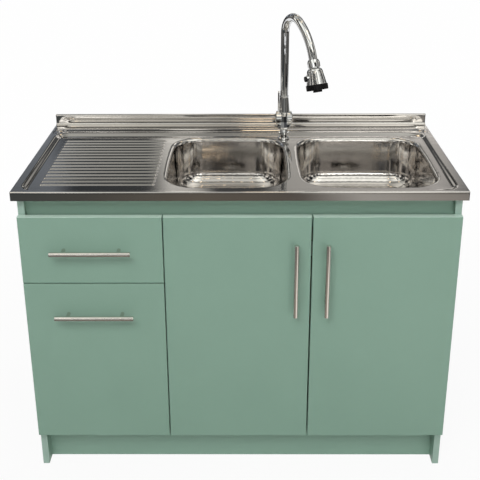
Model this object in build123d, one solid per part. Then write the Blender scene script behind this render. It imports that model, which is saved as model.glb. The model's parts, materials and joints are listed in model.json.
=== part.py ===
from build123d import *
import math
import os

# Kitchen sink unit. Millimetres, +Z up, X to the right, Y towards the wall.
# Sizes below are measured from the front lip of the worktop (y = 0) and the floor (z = 0).

# worktop
worktop_width = 1200.0
worktop_depth = 600.0
worktop_height = 880.0
apron_height = 25.0
sheet = 1.0
lip_radius = 3.0
upstand_height = 33.0
upstand_thickness = 9.0
upstand_return = 20.0
upstand_bend = 5.0
end_round = 1.5
roll_height = 3.0
roll_width = 24.0
roll_setback = 60.0
roll_reach = 570.0
groove_depth = 3.5

# sunken working area of the worktop
recess_depth = 8.0
recess_slope = 14.0
recess_side_rim = 22.0
recess_front_rim = 14.0
recess_setback = 101.0
recess_corner = 38.0
recess_rim_round = 9.0
recess_foot_round = 5.0

# ridges of the drainboard
ridge_count = 16
ridge_pitch = 24.6
ridge_width = 13.0
ridge_height = 3.2
ridge_round = 2.6
ridge_first_y = 72.0
ridge_left = -540.0
ridge_right = -228.0

# bowls, as the outer line of their rolled lips
bowl_front = 45.0
bowl_setback = 118.0
left_bowl_left = -214.0
left_bowl_right = 143.0
right_bowl_left = 160.0
right_bowl_right = 555.0
bowl_depth = 145.0
bowl_lip = 12.0
bowl_corner = 96.0
bowl_side_bow = 7.0
bowl_draft = 6.0
bowl_floor_radius = 42.0

# strainers and waste pipes
drain_radius = 45.0
strainer_flange = 56.0
strainer_wall = 1.5
strainer_depth = 52.0
strainer_seat = 2.5
outlet_radius = 20.0
pipe_radius = 20.0
pipe_wall = 2.0
pipe_bend = 42.0
branch_drop = 85.0
spigot_radius = 19.2
socket_length = 26.0
trap_radius = 44.0
trap_top = 520.0
trap_bottom = 400.0
nut_radius = 27.0
nut_length = 20.0
running_gap = 0.3
shaft_clearance = 0.06

# carcass
board = 18.0
carcass_width = 1176.0
carcass_front = 20.0
carcass_setback = 8.0
base_height = 120.0
kick_setback = 40.0
rail_setback = 16.0
rail_height = 90.0
back_rail_depth = 82.0
hardboard = 3.0
groove_cut = 6.0
groove_inset = 7.0
bowl_clearance = 12.0
notch_radius = 18.0
notch_setback = 100.0
service_left = 275.0
service_right = 470.0
service_bottom = 330.0
service_top = 640.0
service_radius = 30.0

# doors and drawer fronts
front_thickness = 18.0
front_gap = 1.5
front_bottom = 116.0
front_top = 808.0
reveal = 3.0
door_gap = 4.0
drawer_column_right = -204.0
drawer_split = 613.0
edge_round = 1.2

# bar handles
handle_length = 215.0
handle_centres = 148.0
handle_radius = 6.8
handle_post_radius = 5.0
handle_projection = 35.0
handle_edge = 40.0
door_handle_height = 631.5
upper_handle_height = 713.0
lower_handle_height = 520.0

# drawer boxes and their telescopic runners
runner_space = 12.7
runner_height = 45.0
runner_length = 450.0
runner_steel = 1.2
drawer_board = 12.0
drawer_bottom_inset = 12.0
drawer_groove = 5.0
upper_box_bottom = 640.0
upper_box_height = 112.0
lower_box_bottom = 160.0
lower_box_height = 330.0
upper_runner_height = 668.0
lower_runner_height = 230.0

# concealed hinges, laid out from the hinge edge and the front face of the door
hinge_inset = 140.0
cup_radius = 17.5
cup_centre = 22.5
cup_depth = 11.5
cup_wall = 1.2
cup_flange = 0.8
cup_flange_radius = 20.5
nose_inner = 19.5
nose_outer = 31.0
nose_tip = 10.0
nose_width = 12.0
arm_reach = 33.5
arm_wall = 2.0
arm_front = 28.0
arm_back = 82.0
rivet_radius = 1.8
plate_height = 50.0
plate_thickness = 4.0
plate_front = 50.0
plate_back = 86.0

# tap
tap_x = 135.0
tap_setback = 133.0
tap_hole_radius = 12.0
tap_gasket_thickness = 1.5
tap_flange_radius = 17.6
tap_neck_radius = 12.0
tap_base_height = 21.0
shank_radius = 11.4
inlet_radius = 10.48
inlet_length = 52.0
inlet_bore = 7.0
back_nut_size = 32.0
back_nut_thickness = 9.0
skirt_bottom = 903.0
skirt_top = 950.0
skirt_radius = 20.5
waist_radius = 13.8
facet_count = 12
barrel_height = 938.0
barrel_radius = 22.0
barrel_start = 10.0
barrel_reach = 31.0
barrel_dome = 7.5
body_shoulder = 960.0
body_shoulder_radius = 17.0
body_top_radius = 12.8
body_top = 1005.0
cartridge_radius = 13.0
cartridge_length = 22.0
stem_radius = 5.0
stem_length = 10.0
lever_gap = 14.0
lever_tip = 1024.0
lever_blade_inner = 14.6
lever_blade_thickness = 4.2
lever_blade_width = 14.0

# gooseneck spout and spray head
spout_radius = 12.2
spout_wall = 1.5
spout_azimuth = 28.0
spout_straight_top = 1205.0
first_bend_radius = 52.0
first_bend_angle = 119.0
second_bend_radius = 174.0
second_bend_angle = 42.4
spout_tail = 10.0
collar_height = 6.0
socket_depth = 36.0
end_nut_length = 24.0
end_nut_radius = 17.8
ball_stem_radius = 8.0
ball_stem_length = 13.0
bell_length = 47.0
bell_top_radius = 21.0
bell_bottom_radius = 29.0
flute_count = 14
flute_radius = 3.2
grip_length = 16.0
grip_radius = 31.5
notch_count = 16
nozzle_radius = 13.0
nozzle_length = 6.0
nozzle_holes = 8
button_radius = 8.0
button_stand = 5.5
button_height = 27.7

# places worked out from the sizes above
roll_back = worktop_depth - roll_setback
roll_front = roll_back - roll_width
groove_back = worktop_depth - upstand_thickness - upstand_bend
recess_back = worktop_depth - recess_setback
bowl_back = worktop_depth - bowl_setback
tap_y = worktop_depth - tap_setback
carcass_back = worktop_depth - carcass_setback
notch_back = worktop_depth - notch_setback
half_width = worktop_width / 2
half_carcass = carcass_width / 2
inner_side = half_carcass - board
carcass_top = worktop_height - apron_height
floor_top = worktop_height - recess_depth
floor_under = floor_top - sheet
recess_x = half_width - recess_side_rim
base_top = base_height + board
divider_left = drawer_column_right - board / 2
divider_right = drawer_column_right + board / 2
rail_front = carcass_front + rail_setback
rail_back = rail_front + board
back_face = carcass_back - groove_inset - hardboard
bowl_floor = floor_top - bowl_depth
branch_height = bowl_floor - strainer_depth - branch_drop
back_nut_bottom = floor_under - 2.0 - back_nut_thickness
bowl_mid_y = (bowl_front + bowl_back) / 2
left_bowl_mid = (left_bowl_left + left_bowl_right) / 2
right_bowl_mid = (right_bowl_left + right_bowl_right) / 2
front_face = carcass_front - front_gap - front_thickness
front_back = front_face + front_thickness
door_width = (half_carcass - drawer_column_right - reveal / 2 - door_gap) / 2
left_door_left = drawer_column_right + reveal / 2
left_door_right = left_door_left + door_width
right_door_left = left_door_right + door_gap
drawer_front_right = drawer_column_right - reveal / 2
box_left = -inner_side + runner_space
box_right = divider_left - runner_space
runner_front = carcass_front + 2.0
upstand_top = worktop_height + upstand_height
handle_front = front_face - handle_projection
y_shift = -(worktop_depth + handle_front) / 2


def block(x0, x1, y0, y1, z0, z1):
    """Box between two corners."""
    centre = Pos((x0 + x1) / 2, (y0 + y1) / 2, (z0 + z1) / 2)
    return centre * Box(x1 - x0, y1 - y0, z1 - z0)


def rod(x, y, z0, z1, radius):
    """Upright cylinder between two heights."""
    return Pos(x, y, (z0 + z1) / 2) * Cylinder(radius, z1 - z0)


def pipe(x, y, z0, z1, outer, inner):
    """Upright tube between two heights."""
    return rod(x, y, z0, z1, outer) - rod(x, y, z0 - 1, z1 + 1, inner)


def turned(points, x=0.0, y=0.0):
    """Solid of revolution about an upright axis, from (radius, height) points."""
    face = make_face(Plane.XZ * Polyline(*points, close=True))
    return Pos(x, y, 0) * revolve(face, Axis.Z)


def save(name, *solids):
    """Write one named piece, or a set of like pieces, as a STEP file."""
    parts = []
    for solid in solids:
        parts += solid.solids()
    shape = parts[0] if len(parts) == 1 else Compound(children=parts)
    moved = Pos(0, y_shift, 0) * shape
    moved.label = name
    export_step(moved, os.path.join("parts", name + ".step"))


# ---------- pressed worktop ----------


def worktop_profile(inset):
    """Section of the bent sheet: apron, flat top and upstand."""
    upstand_front = worktop_depth - upstand_thickness + inset
    top = worktop_height - inset
    crest = upstand_top - inset
    outline = Polyline(
        (inset, carcass_top),
        (inset, top),
        (upstand_front, top),
        (upstand_front, crest),
        (worktop_depth - inset, crest),
        (worktop_depth - inset, carcass_top),
        close=True,
    )
    face = make_face(outline)
    bend = face.vertices().sort_by_distance((upstand_front, top, 0))[0]
    face = fillet([bend], upstand_bend + inset)
    lip = face.vertices().sort_by_distance((inset, top, 0))[0]
    crests = face.vertices().group_by(Axis.Y)[-1]
    return fillet([lip] + crests, lip_radius - inset)


def bulge(front, back, height):
    """Shallow round bar along X with domed ends, standing on the level z = 0."""
    half = (back - front) / 2
    radius = (half**2 + height**2) / (2 * height)
    straight = roll_reach - half
    form = Rot(0, 90, 0) * Cylinder(radius, 2 * straight)
    form += [Pos(side * straight, 0, 0) * Sphere(radius) for side in (-1, 1)]
    form = Pos(0, (front + back) / 2, height - radius) * form
    return form & block(-half_width, half_width, front - half, back + half, 0, 2 * height)


def recess_tool(inset):
    """What presses the sunken area, for the upper side or the sheet's underside."""
    slant = math.hypot(recess_slope, recess_depth)
    grow = inset * (slant - recess_slope) / recess_depth
    width = 2 * (recess_x + grow)
    depth = recess_back - recess_front_rim + 2 * grow
    middle = (recess_back + recess_front_rim) / 2
    top = RectangleRounded(width, depth, recess_corner)
    bottom = RectangleRounded(
        width - 2 * recess_slope, depth - 2 * recess_slope, recess_corner - recess_slope
    )
    upper = Pos(0, middle, worktop_height - inset) * top
    lower = Pos(0, middle, floor_top - inset) * bottom
    slope = loft([lower, upper], ruled=True)
    return slope + extrude(upper, upstand_height)


def ridges(inset):
    """Drainboard ridges; the underside has a plainer, narrower hollow."""
    length = ridge_right - ridge_left
    middle = (ridge_right + ridge_left) / 2
    bars = []
    for number in range(ridge_count):
        y = ridge_first_y + number * ridge_pitch
        if inset:
            hollow = ridge_width - 2 * (ridge_round + inset)
            bars.append(
                block(
                    ridge_left + ridge_width,
                    ridge_right - ridge_width,
                    y - hollow / 2,
                    y + hollow / 2,
                    floor_under,
                    floor_top + ridge_height - inset,
                )
            )
            continue
        plan = Pos(middle, y, floor_top - sheet / 2) * SlotOverall(length, ridge_width)
        bar = extrude(plan, ridge_height + sheet / 2)
        rim = bar.edges().group_by(Axis.Z)[-1]
        bars.append(fillet(rim, ridge_round))
    return bars


def bowl_outline(left, right, inset):
    """Bowl seen from above: bowed sides and large round corners."""
    width = right - left - 2 * inset
    depth = bowl_back - bowl_front - 2 * inset
    bow = bowl_side_bow
    x = width / 2 - bow
    y = depth / 2 - bow
    sides = [
        ThreePointArc((-x, -y), (0, -y - bow), (x, -y)),
        ThreePointArc((x, -y), (x + bow, 0), (x, y)),
        ThreePointArc((x, y), (0, y + bow), (-x, y)),
        ThreePointArc((-x, y), (-x - bow, 0), (-x, -y)),
    ]
    face = make_face(sides)
    face = fillet(face.vertices(), bowl_corner - inset)
    return Pos((left + right) / 2, bowl_mid_y, 0) * face


def pressed_form(inset):
    """Worktop's upper side, or its underside when inset by the sheet."""
    top = worktop_height - inset
    reach = half_width - inset
    form = extrude(Plane.YZ * worktop_profile(inset), reach, both=True)
    for side in (0, -1):
        ends = form.faces().sort_by(Axis.X)[side].edges()
        form = fillet(ends.filter_by(lambda edge: edge.center().Z > carcass_top + 1), end_round - inset)
    form += Pos(0, 0, top) * bulge(roll_front, roll_back, roll_height)
    groove = bulge(roll_back, groove_back, groove_depth)
    form -= Pos(0, 0, top) * mirror(groove, Plane.XY)
    form -= recess_tool(inset)
    rim = form.edges().filter_by_position(Axis.Z, top - 0.01, top + 0.01)
    rim = rim.filter_by_position(Axis.Y, recess_front_rim - 2, recess_back + 2)
    form = fillet(rim.filter_by_position(Axis.X, -recess_x - 2, recess_x + 2), recess_rim_round - inset)
    foot = form.edges().filter_by_position(Axis.Z, floor_top - inset - 0.01, floor_top - inset + 0.01)
    return fillet(foot, recess_foot_round + inset)


def sink_top():
    """One pressed sheet: apron, rim, recess, ridges, roll, groove and upstand."""
    hollow = pressed_form(sheet)
    hollow += block(
        -half_width + sheet,
        half_width - sheet,
        sheet,
        worktop_depth - sheet,
        carcass_top - sheet,
        carcass_top + 2 * sheet,
    )
    hollow += block(
        -half_width + sheet,
        half_width - sheet,
        worktop_depth - 2 * sheet,
        worktop_depth + sheet,
        carcass_top - sheet,
        upstand_top - upstand_return,
    )
    top = pressed_form(0) - hollow
    top = top + ridges(0)
    top = top - ridges(sheet)
    for left, right in bowl_sides:
        hole = Pos(0, 0, floor_under - sheet) * bowl_outline(left, right, 0)
        top -= extrude(hole, recess_depth)
    top -= rod(tap_x, tap_y, floor_under - sheet, floor_top + sheet, tap_hole_radius)
    return top


def bowl_form(left, right, inset):
    """Inside of a bowl, or its outside when inset by the sheet."""
    floor = bowl_floor - inset
    mouth = floor_top - inset
    wall = Pos(0, 0, mouth) * bowl_outline(left, right, bowl_lip - inset)
    foot = Pos(0, 0, floor) * bowl_outline(left, right, bowl_lip - inset + bowl_draft)
    well = loft([foot, wall], ruled=True)
    rim = well.edges().group_by(Axis.Z)[0]
    well = fillet(rim, bowl_floor_radius + inset)
    throat = mouth - bowl_lip - inset
    slab_face = Pos(0, 0, throat) * bowl_outline(left, right, -bowl_lip)
    slab = extrude(slab_face, mouth - throat)
    ring = slab - well
    lip = [
        edge
        for edge in ring.edges().group_by(Axis.Z)[-1]
        if edge.distance_to(well) < sheet / 10
    ]
    return well + (slab - fillet(lip, bowl_lip - inset))


def bowl(left, right):
    """Deep-drawn bowl with a rolled lip and a seat for its strainer."""
    middle = (left + right) / 2
    outer = bowl_form(left, right, sheet)
    plate = Pos(0, 0, floor_under) * bowl_outline(left, right, 0)
    outer += extrude(plate, sheet)
    outer += rod(
        middle,
        bowl_mid_y,
        bowl_floor - strainer_seat - sheet,
        bowl_floor,
        strainer_flange + 2 + sheet,
    )
    shell = outer - bowl_form(left, right, 0)
    shell -= rod(
        middle, bowl_mid_y, bowl_floor - strainer_seat, bowl_floor + 1, strainer_flange + 2
    )
    shell -= rod(
        middle, bowl_mid_y, bowl_floor - strainer_depth, bowl_floor, drain_radius + running_gap
    )
    return shell


# ---------- strainers and waste ----------


def strainer_body(x):
    """Flanged cup that hangs through the bowl's drain hole."""
    seat = bowl_floor - strainer_seat
    bottom = bowl_floor - strainer_depth
    spigot = bottom - 28.0
    shape = turned(
        [
            (outlet_radius - strainer_wall, spigot),
            (outlet_radius, spigot),
            (outlet_radius, bottom),
            (drain_radius - 10.0, bottom),
            (drain_radius, bottom + 10.0),
            (drain_radius, seat),
            (strainer_flange, seat),
            (strainer_flange, seat + strainer_wall),
            (drain_radius - strainer_wall, seat + strainer_wall),
            (drain_radius - strainer_wall, bottom + 10.0 + strainer_wall / 2),
            (drain_radius - 10.0, bottom + strainer_wall),
            (outlet_radius - strainer_wall, bottom + strainer_wall),
        ],
        x,
        bowl_mid_y,
    )
    return shape


def strainer_gasket(x):
    """Rubber washer under the bowl, squeezed by the lock nut."""
    top = bowl_floor - strainer_seat - sheet
    return pipe(x, bowl_mid_y, top - 3.0, top, strainer_flange + 1, drain_radius + shaft_clearance)


def strainer_nut(x):
    """Ring nut with six wrench lugs."""
    top = bowl_floor - strainer_seat - sheet - 3.0
    nut = pipe(x, bowl_mid_y, top - 10.0, top, strainer_flange, drain_radius + shaft_clearance)
    lugs = PolarLocations(strainer_flange, 6)
    nut += [
        Pos(x, bowl_mid_y, top - 5.0) * place * Box(8, 10, 10) for place in lugs.locations
    ]
    return nut


def strainer_basket(x):
    """Perforated basket with a lifting knob, seated in the strainer body."""
    rim = bowl_floor - strainer_seat + strainer_wall + running_gap
    radius = drain_radius - strainer_wall - 1.0
    deep = 34.0
    shell = turned(
        [
            (0, rim - deep),
            (radius - 9.0, rim - deep),
            (radius - 2.0, rim - deep + 8.0),
            (radius, rim),
            (radius + 4.5, rim),
            (radius + 4.5, rim + 1.0),
            (radius - 1.0, rim + 1.0),
            (radius - 3.0, rim - deep + 8.6),
            (radius - 9.4, rim - deep + 1.2),
            (0, rim - deep + 1.2),
        ]
    )
    for count, ring in ((6, 13.0), (12, 25.0)):
        holes = PolarLocations(ring, count)
        shell -= [
            Pos(0, 0, rim - deep) * place * Cylinder(2.6, 6) for place in holes.locations
        ]
    knob = turned(
        [
            (0, rim - deep + 0.6),
            (3.0, rim - deep + 0.6),
            (3.0, rim - 13.0),
            (8.0, rim - 10.0),
            (9.0, rim - 6.0),
            (6.0, rim - 3.0),
            (0, rim - 2.4),
        ]
    )
    return Pos(x, bowl_mid_y, 0) * (shell + knob)


def waste_left():
    """Pipe from the left bowl: down, round a bend and across to the tee."""
    top = bowl_floor - strainer_depth - 4.0
    end = right_bowl_mid - 34.0
    route = FilletPolyline(
        (left_bowl_mid, bowl_mid_y, top),
        (left_bowl_mid, bowl_mid_y, branch_height),
        (end, bowl_mid_y, branch_height),
        radius=pipe_bend,
    )
    start = Plane(origin=route @ 0, z_dir=route % 0)
    outer = sweep(start * Circle(pipe_radius + pipe_wall + shaft_clearance), path=route)
    inner = sweep(start * Circle(pipe_radius + shaft_clearance), path=route)
    return outer - inner


def waste_tee():
    """Pipe from the right bowl with a side branch, down to the trap."""
    top = bowl_floor - strainer_depth - 4.0
    outer = pipe_radius + pipe_wall + shaft_clearance
    inner = pipe_radius + shaft_clearance
    down = rod(right_bowl_mid, bowl_mid_y, trap_top, top, outer)
    length = 34.0
    branch = Pos(right_bowl_mid - length / 2, bowl_mid_y, branch_height)
    side = branch * Rot(0, 90, 0) * Cylinder(outer, length)
    hollow = rod(right_bowl_mid, bowl_mid_y, trap_top - 1, top + 1, inner)
    hollow += branch * Rot(0, 90, 0) * Cylinder(inner, length + 2)
    return down + side - hollow


def slip_nut(place, length):
    """Knurled nut round a pipe joint, bored to the pipe."""
    bore = pipe_radius + pipe_wall + 2 * shaft_clearance
    nut = Cylinder(nut_radius, length)
    ribs = PolarLocations(nut_radius, 10)
    nut += [spot * Cylinder(2.2, length) for spot in ribs.locations]
    return place * (nut - Cylinder(bore, length + 2))


def slip_nuts():
    """Nuts at both strainers, the tee branch and the trap inlet."""
    strainer_joint = bowl_floor - strainer_depth - 4.0 - nut_length
    branch_x = right_bowl_mid - 34.0 - running_gap
    trap_joint = trap_top + nut_length / 2 + running_gap
    return [
        slip_nut(Pos(left_bowl_mid, bowl_mid_y, strainer_joint), nut_length),
        slip_nut(Pos(right_bowl_mid, bowl_mid_y, strainer_joint), nut_length),
        slip_nut(Pos(branch_x, bowl_mid_y, branch_height) * Rot(0, 90, 0), nut_length),
        slip_nut(Pos(right_bowl_mid, bowl_mid_y, trap_joint), nut_length),
    ]


def bottle_trap():
    """Bottle trap: closed cup with a ribbed screw-off base and a rear outlet socket."""
    wall = 3.0
    cup = turned(
        [
            (0, trap_bottom),
            (trap_radius - 8.0, trap_bottom),
            (trap_radius, trap_bottom + 12.0),
            (trap_radius, trap_top - 14.0),
            (trap_radius - 10.0, trap_top),
            (pipe_radius, trap_top),
            (pipe_radius, trap_top - wall),
            (trap_radius - 12.0, trap_top - wall),
            (trap_radius - wall, trap_top - 16.0),
            (trap_radius - wall, trap_bottom + 13.0),
            (trap_radius - 9.5, trap_bottom + wall),
            (0, trap_bottom + wall),
        ]
    )
    ribs = PolarLocations(trap_radius, 16)
    low = trap_bottom + 30.0
    cup += [Pos(0, 0, low) * spot * Cylinder(2.4, 26) for spot in ribs.locations]
    place = Pos(0, trap_radius + socket_length / 4, trap_outlet_height) * Rot(90, 0, 0)
    cup += place * Cylinder(pipe_radius + 5.0, socket_length)
    cup -= place * Cylinder(pipe_radius - pipe_wall, 2 * trap_radius)
    socket = Pos(0, socket_length / 2, 0) * place
    cup -= socket * Cylinder(spigot_radius + shaft_clearance, socket_length)
    return Pos(right_bowl_mid, bowl_mid_y, 0) * cup


def outlet_pipe():
    """Stepped pipe from the trap's socket out through the service cut-out to the wall line."""
    start = bowl_mid_y + trap_radius + socket_length / 4 + 2.0
    step = bowl_mid_y + trap_radius + 0.75 * socket_length + running_gap

    def along(near, far, radius):
        middle = Pos(right_bowl_mid, (near + far) / 2, trap_outlet_height)
        return middle * Rot(90, 0, 0) * Cylinder(radius, far - near)

    outside = along(start, step, spigot_radius) + along(step, worktop_depth, pipe_radius)
    return outside - along(start - 1, worktop_depth + 1, pipe_radius - pipe_wall)


# ---------- carcass ----------


def side_panel(side):
    """End board down to the floor, grooved for the back panel."""
    outer = side * half_carcass
    inner = side * inner_side
    low, high = min(outer, inner), max(outer, inner)
    panel = block(low, high, carcass_front, carcass_back, 0, carcass_top)
    cut = inner + side * groove_cut
    low, high = min(inner, cut), max(inner, cut)
    panel -= block(low, high, back_face, back_face + hardboard, base_height, carcass_top + 1)
    return panel


def divider():
    """Upright board between drawers and doors, notched for the left bowl."""
    side = divider_left
    panel = block(side, divider_right, carcass_front, back_face, base_top, carcass_top - rail_height)
    notch_floor = bowl_floor - bowl_clearance
    notch = block(
        side - 1,
        divider_right + 1,
        rail_back,
        notch_back,
        notch_floor,
        carcass_top - rail_height + notch_radius,
    )
    corners = notch.edges().filter_by(Axis.X).group_by(Axis.Z)[0]
    return panel - fillet(corners, notch_radius)


def back_panel():
    """Hardboard back with a rounded service cut-out."""
    reach = inner_side + groove_cut - 0.5
    panel = block(-reach, reach, back_face, back_face + hardboard, base_height, carcass_top)
    cut = block(
        service_left,
        service_right,
        back_face - 1,
        back_face + hardboard + 1,
        service_bottom,
        service_top,
    )
    return panel - fillet(cut.edges().filter_by(Axis.Y), service_radius)


def support_boards():
    """Boards glued under the sheet: drainer board, front, right and back battens."""
    under = floor_under
    reach = half_carcass + 2.0
    split = left_bowl_left - 6.0
    front = carcass_front - 6.0
    slope_foot = recess_back - recess_slope
    front_batten_back = bowl_front - 2.0
    right_batten_left = right_bowl_right + 2.0
    ledge_under = worktop_height - sheet
    return [
        block(-reach, split, front, slope_foot, carcass_top, under),
        block(split, right_batten_left, front, front_batten_back, carcass_top, under),
        block(right_batten_left, reach, front, slope_foot, carcass_top, under),
        block(-reach, reach, recess_back + 4.0, roll_back - 4.0, carcass_top, ledge_under),
    ]


def angle_bracket(x, y, side, reach):
    """Pressed angle with a screw hole in each leg, in the corner under a batten."""
    width = 24.0
    steel = 2.0
    leg = 26.0
    upright = block(0, steel, -width / 2, width / 2, -leg, 0)
    flat = block(0, reach, -width / 2, width / 2, -steel, 0)
    bracket = upright + flat
    bracket -= Pos(steel / 2, 0, -leg * 0.6) * Rot(0, 90, 0) * Cylinder(2.2, 3 * steel)
    bracket -= Pos(reach * 0.6, 0, -steel / 2) * Cylinder(2.2, 3 * steel)
    if side > 0:
        bracket = mirror(bracket, Plane.YZ)
    return Pos(x, y, carcass_top) * bracket


def angle_brackets():
    """Two brackets at each end of the cabinet."""
    pieces = []
    for y in (130.0, 400.0):
        pieces.append(angle_bracket(-inner_side, y, -1, 22.0))
        pieces.append(angle_bracket(inner_side, y, 1, 12.0))
    return pieces


# ---------- fronts ----------


def front_panel(x0, x1, z0, z1):
    """Faced board with its visible edges eased."""
    panel = block(x0, x1, front_face, front_back, z0, z1)
    face = panel.faces().sort_by(Axis.Y)[0]
    return fillet(face.edges(), edge_round)


def bar_handle(x, z, upright):
    """Round bar on two posts."""
    stand = handle_projection - handle_radius
    bar = Rot(0, 90, 0) * Cylinder(handle_radius, handle_length)
    bar = fillet(bar.edges(), 0.8)
    posts = [
        Pos(shift, stand / 2, 0) * Rot(90, 0, 0) * Cylinder(handle_post_radius, stand)
        for shift in (-handle_centres / 2, handle_centres / 2)
    ]
    handle = bar + posts
    if upright:
        handle = Rot(0, 90, 0) * handle
    return Pos(x, front_face - stand, z) * handle


def door_panel(x0, x1, hinge_x, inward):
    """Door with blind bores for its hinge cups."""
    panel = front_panel(x0, x1, front_bottom, front_top)
    for z in hinge_heights:
        bore = Pos(hinge_x + inward * cup_centre, front_back - cup_depth / 2, z)
        panel -= bore * Rot(90, 0, 0) * Cylinder(cup_radius, cup_depth)
    return panel


def hinge_cup(hinge_x, inward, z):
    """Pressed cup with its flange on the door's inner face."""
    cup = turned(
        [
            (0, -cup_depth),
            (cup_radius, -cup_depth),
            (cup_radius, 0),
            (cup_flange_radius, 0),
            (cup_flange_radius, cup_flange),
            (cup_radius - cup_wall, cup_flange),
            (cup_radius - cup_wall, -cup_depth + cup_wall),
            (0, -cup_depth + cup_wall),
        ]
    )
    wings = extrude(Pos(-inward * 4.0, 0, 0) * Rectangle(12.0, 58.0), cup_flange)
    wings = fillet(wings.edges().filter_by(Axis.Z), 4.0) - Cylinder(cup_radius, 4 * cup_flange)
    cup = Rot(-90, 0, 0) * (cup + wings)
    return Pos(hinge_x + inward * cup_centre, front_back, z) * cup


def hinge_arm(hinge_x, inward, z, overlay):
    """Mounting plate, channel arm and the nose that reaches into the cup."""

    def slab(near, far, front, back, half):
        low, high = sorted((hinge_x + inward * near, hinge_x + inward * far))
        return block(low, high, front_face + front, front_face + back, z - half, z + half)

    near = overlay + plate_thickness
    plate = slab(overlay, near, plate_front, plate_back, plate_height / 2)
    plate = fillet(plate.edges().filter_by(Axis.X), 5.0)
    half = nose_width / 2
    arm = slab(near, arm_reach, arm_front, arm_back, half + arm_wall)
    tip = hinge_x + inward * arm_reach
    corner = arm.edges().filter_by(Axis.Z).sort_by_distance((tip, front_face + arm_back, z))[0]
    arm = fillet(corner, 9.0)
    arm -= slab(near - 1, arm_reach - arm_wall, arm_front + 6.0, arm_back - 4.0, half)
    nose = slab(nose_inner, nose_outer, nose_tip, arm_front + 6.0, half)
    rounded = nose.edges().filter_by(Axis.Z).group_by(Axis.Y)[0]
    arm += fillet(rounded, 3.0)
    for back in (nose_tip + 4.0, arm_front + 3.0):
        centre = Pos(hinge_x + inward * (nose_inner + nose_outer) / 2, front_face + back, z)
        arm += centre * Cylinder(rivet_radius, nose_width + 2 * arm_wall + 1.0)
    return plate + arm


# ---------- drawers ----------


def drawer_sides(bottom, height):
    """Two side boards grooved for the drawer bottom."""
    sides = []
    for outer, inward in ((box_left, 1), (box_right, -1)):
        inner = outer + inward * drawer_board
        low, high = min(outer, inner), max(outer, inner)
        side = block(low, high, front_back, front_back + runner_length, bottom, bottom + height)
        cut = inner - inward * drawer_groove
        low, high = min(inner, cut), max(inner, cut)
        slot = bottom + drawer_bottom_inset
        side -= block(
            low, high, front_back - 1, front_back + runner_length + 1, slot, slot + hardboard
        )
        sides.append(side)
    return sides


def drawer_ends(bottom, height):
    """Inner front and back boards between the sides."""
    left = box_left + drawer_board
    right = box_right - drawer_board
    slot = bottom + drawer_bottom_inset
    ends = []
    for y in (front_back, front_back + runner_length - drawer_board):
        end = block(left, right, y, y + drawer_board, bottom, bottom + height)
        inner = y + drawer_board if y == front_back else y
        end -= block(
            left - 1,
            right + 1,
            inner - drawer_groove,
            inner + drawer_groove,
            slot,
            slot + hardboard,
        )
        ends.append(end)
    return ends


def drawer_bottom(bottom):
    """Hardboard bottom held in the grooves."""
    lap = drawer_groove - 0.5
    slot = bottom + drawer_bottom_inset
    return block(
        box_left + drawer_board - lap,
        box_right - drawer_board + lap,
        front_back + drawer_board - lap,
        front_back + runner_length - drawer_board + lap,
        slot,
        slot + hardboard,
    )


def channel(web, tips, half_height, height, wall_x, inward):
    """Steel channel of a runner, from its web face to its flange tips."""
    steel = runner_steel
    far = web + steel if tips > web else web - steel
    y0 = runner_front
    y1 = runner_front + runner_length
    pieces = []
    for low, high, z0, z1 in (
        (web, far, -half_height, half_height),
        (web, tips, half_height - steel, half_height),
        (web, tips, -half_height, steel - half_height),
    ):
        a = wall_x + inward * low
        b = wall_x + inward * high
        pieces.append(block(min(a, b), max(a, b), y0, y1, height + z0, height + z1))
    return pieces[0] + pieces[1] + pieces[2]


def runners(kind, height):
    """Left and right members of one runner pair: cabinet, middle or drawer."""
    half = runner_height / 2
    step = runner_steel + running_gap
    layout = {
        "cabinet": (0.0, runner_space - 3.0, half),
        "middle": (step, runner_space - 2.0, half - step),
        "drawer": (runner_space, 2 * step + 1.0, half - 2 * step),
    }
    web, tips, half_height = layout[kind]
    return [
        channel(web, tips, half_height, height, -inner_side, 1),
        channel(web, tips, half_height, height, divider_left, -1),
    ]


# ---------- tap ----------


def tap_base():
    """Turned base flange with its threaded inlet shank."""
    foot = floor_top + tap_gasket_thickness
    top = foot + tap_base_height
    shape = turned(
        [
            (inlet_bore, foot - inlet_length),
            (inlet_radius, foot - inlet_length),
            (inlet_radius, back_nut_bottom - 3.0),
            (shank_radius, back_nut_bottom - 3.0),
            (shank_radius, foot),
            (tap_flange_radius, foot),
            (tap_flange_radius, foot + 3.0),
            (tap_neck_radius + 0.6, foot + 6.0),
            (tap_neck_radius, foot + 12.0),
            (tap_neck_radius + 0.5, top - 5.5),
            (tap_flange_radius - 1.0, top - 4.5),
            (tap_flange_radius - 1.0, top - 1.0),
            (tap_neck_radius + 1.0, top),
            (inlet_bore, top),
        ],
        tap_x,
        tap_y,
    )
    return shape


def tap_gasket():
    """Rubber washer under the tap."""
    return pipe(
        tap_x,
        tap_y,
        floor_top,
        floor_top + tap_gasket_thickness,
        tap_flange_radius - 1.1,
        shank_radius + shaft_clearance,
    )


def tap_back_nut():
    """Hexagon nut with its washer under the sink."""
    nut = extrude(RegularPolygon(back_nut_size / 2, 6, major_radius=False), back_nut_thickness)
    nut = Pos(tap_x, tap_y, back_nut_bottom) * nut
    nut += rod(tap_x, tap_y, floor_under - 2.0, floor_under, back_nut_size / 2 + 3.0)
    return nut - rod(tap_x, tap_y, back_nut_bottom - 1, floor_top, shank_radius + shaft_clearance)


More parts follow.
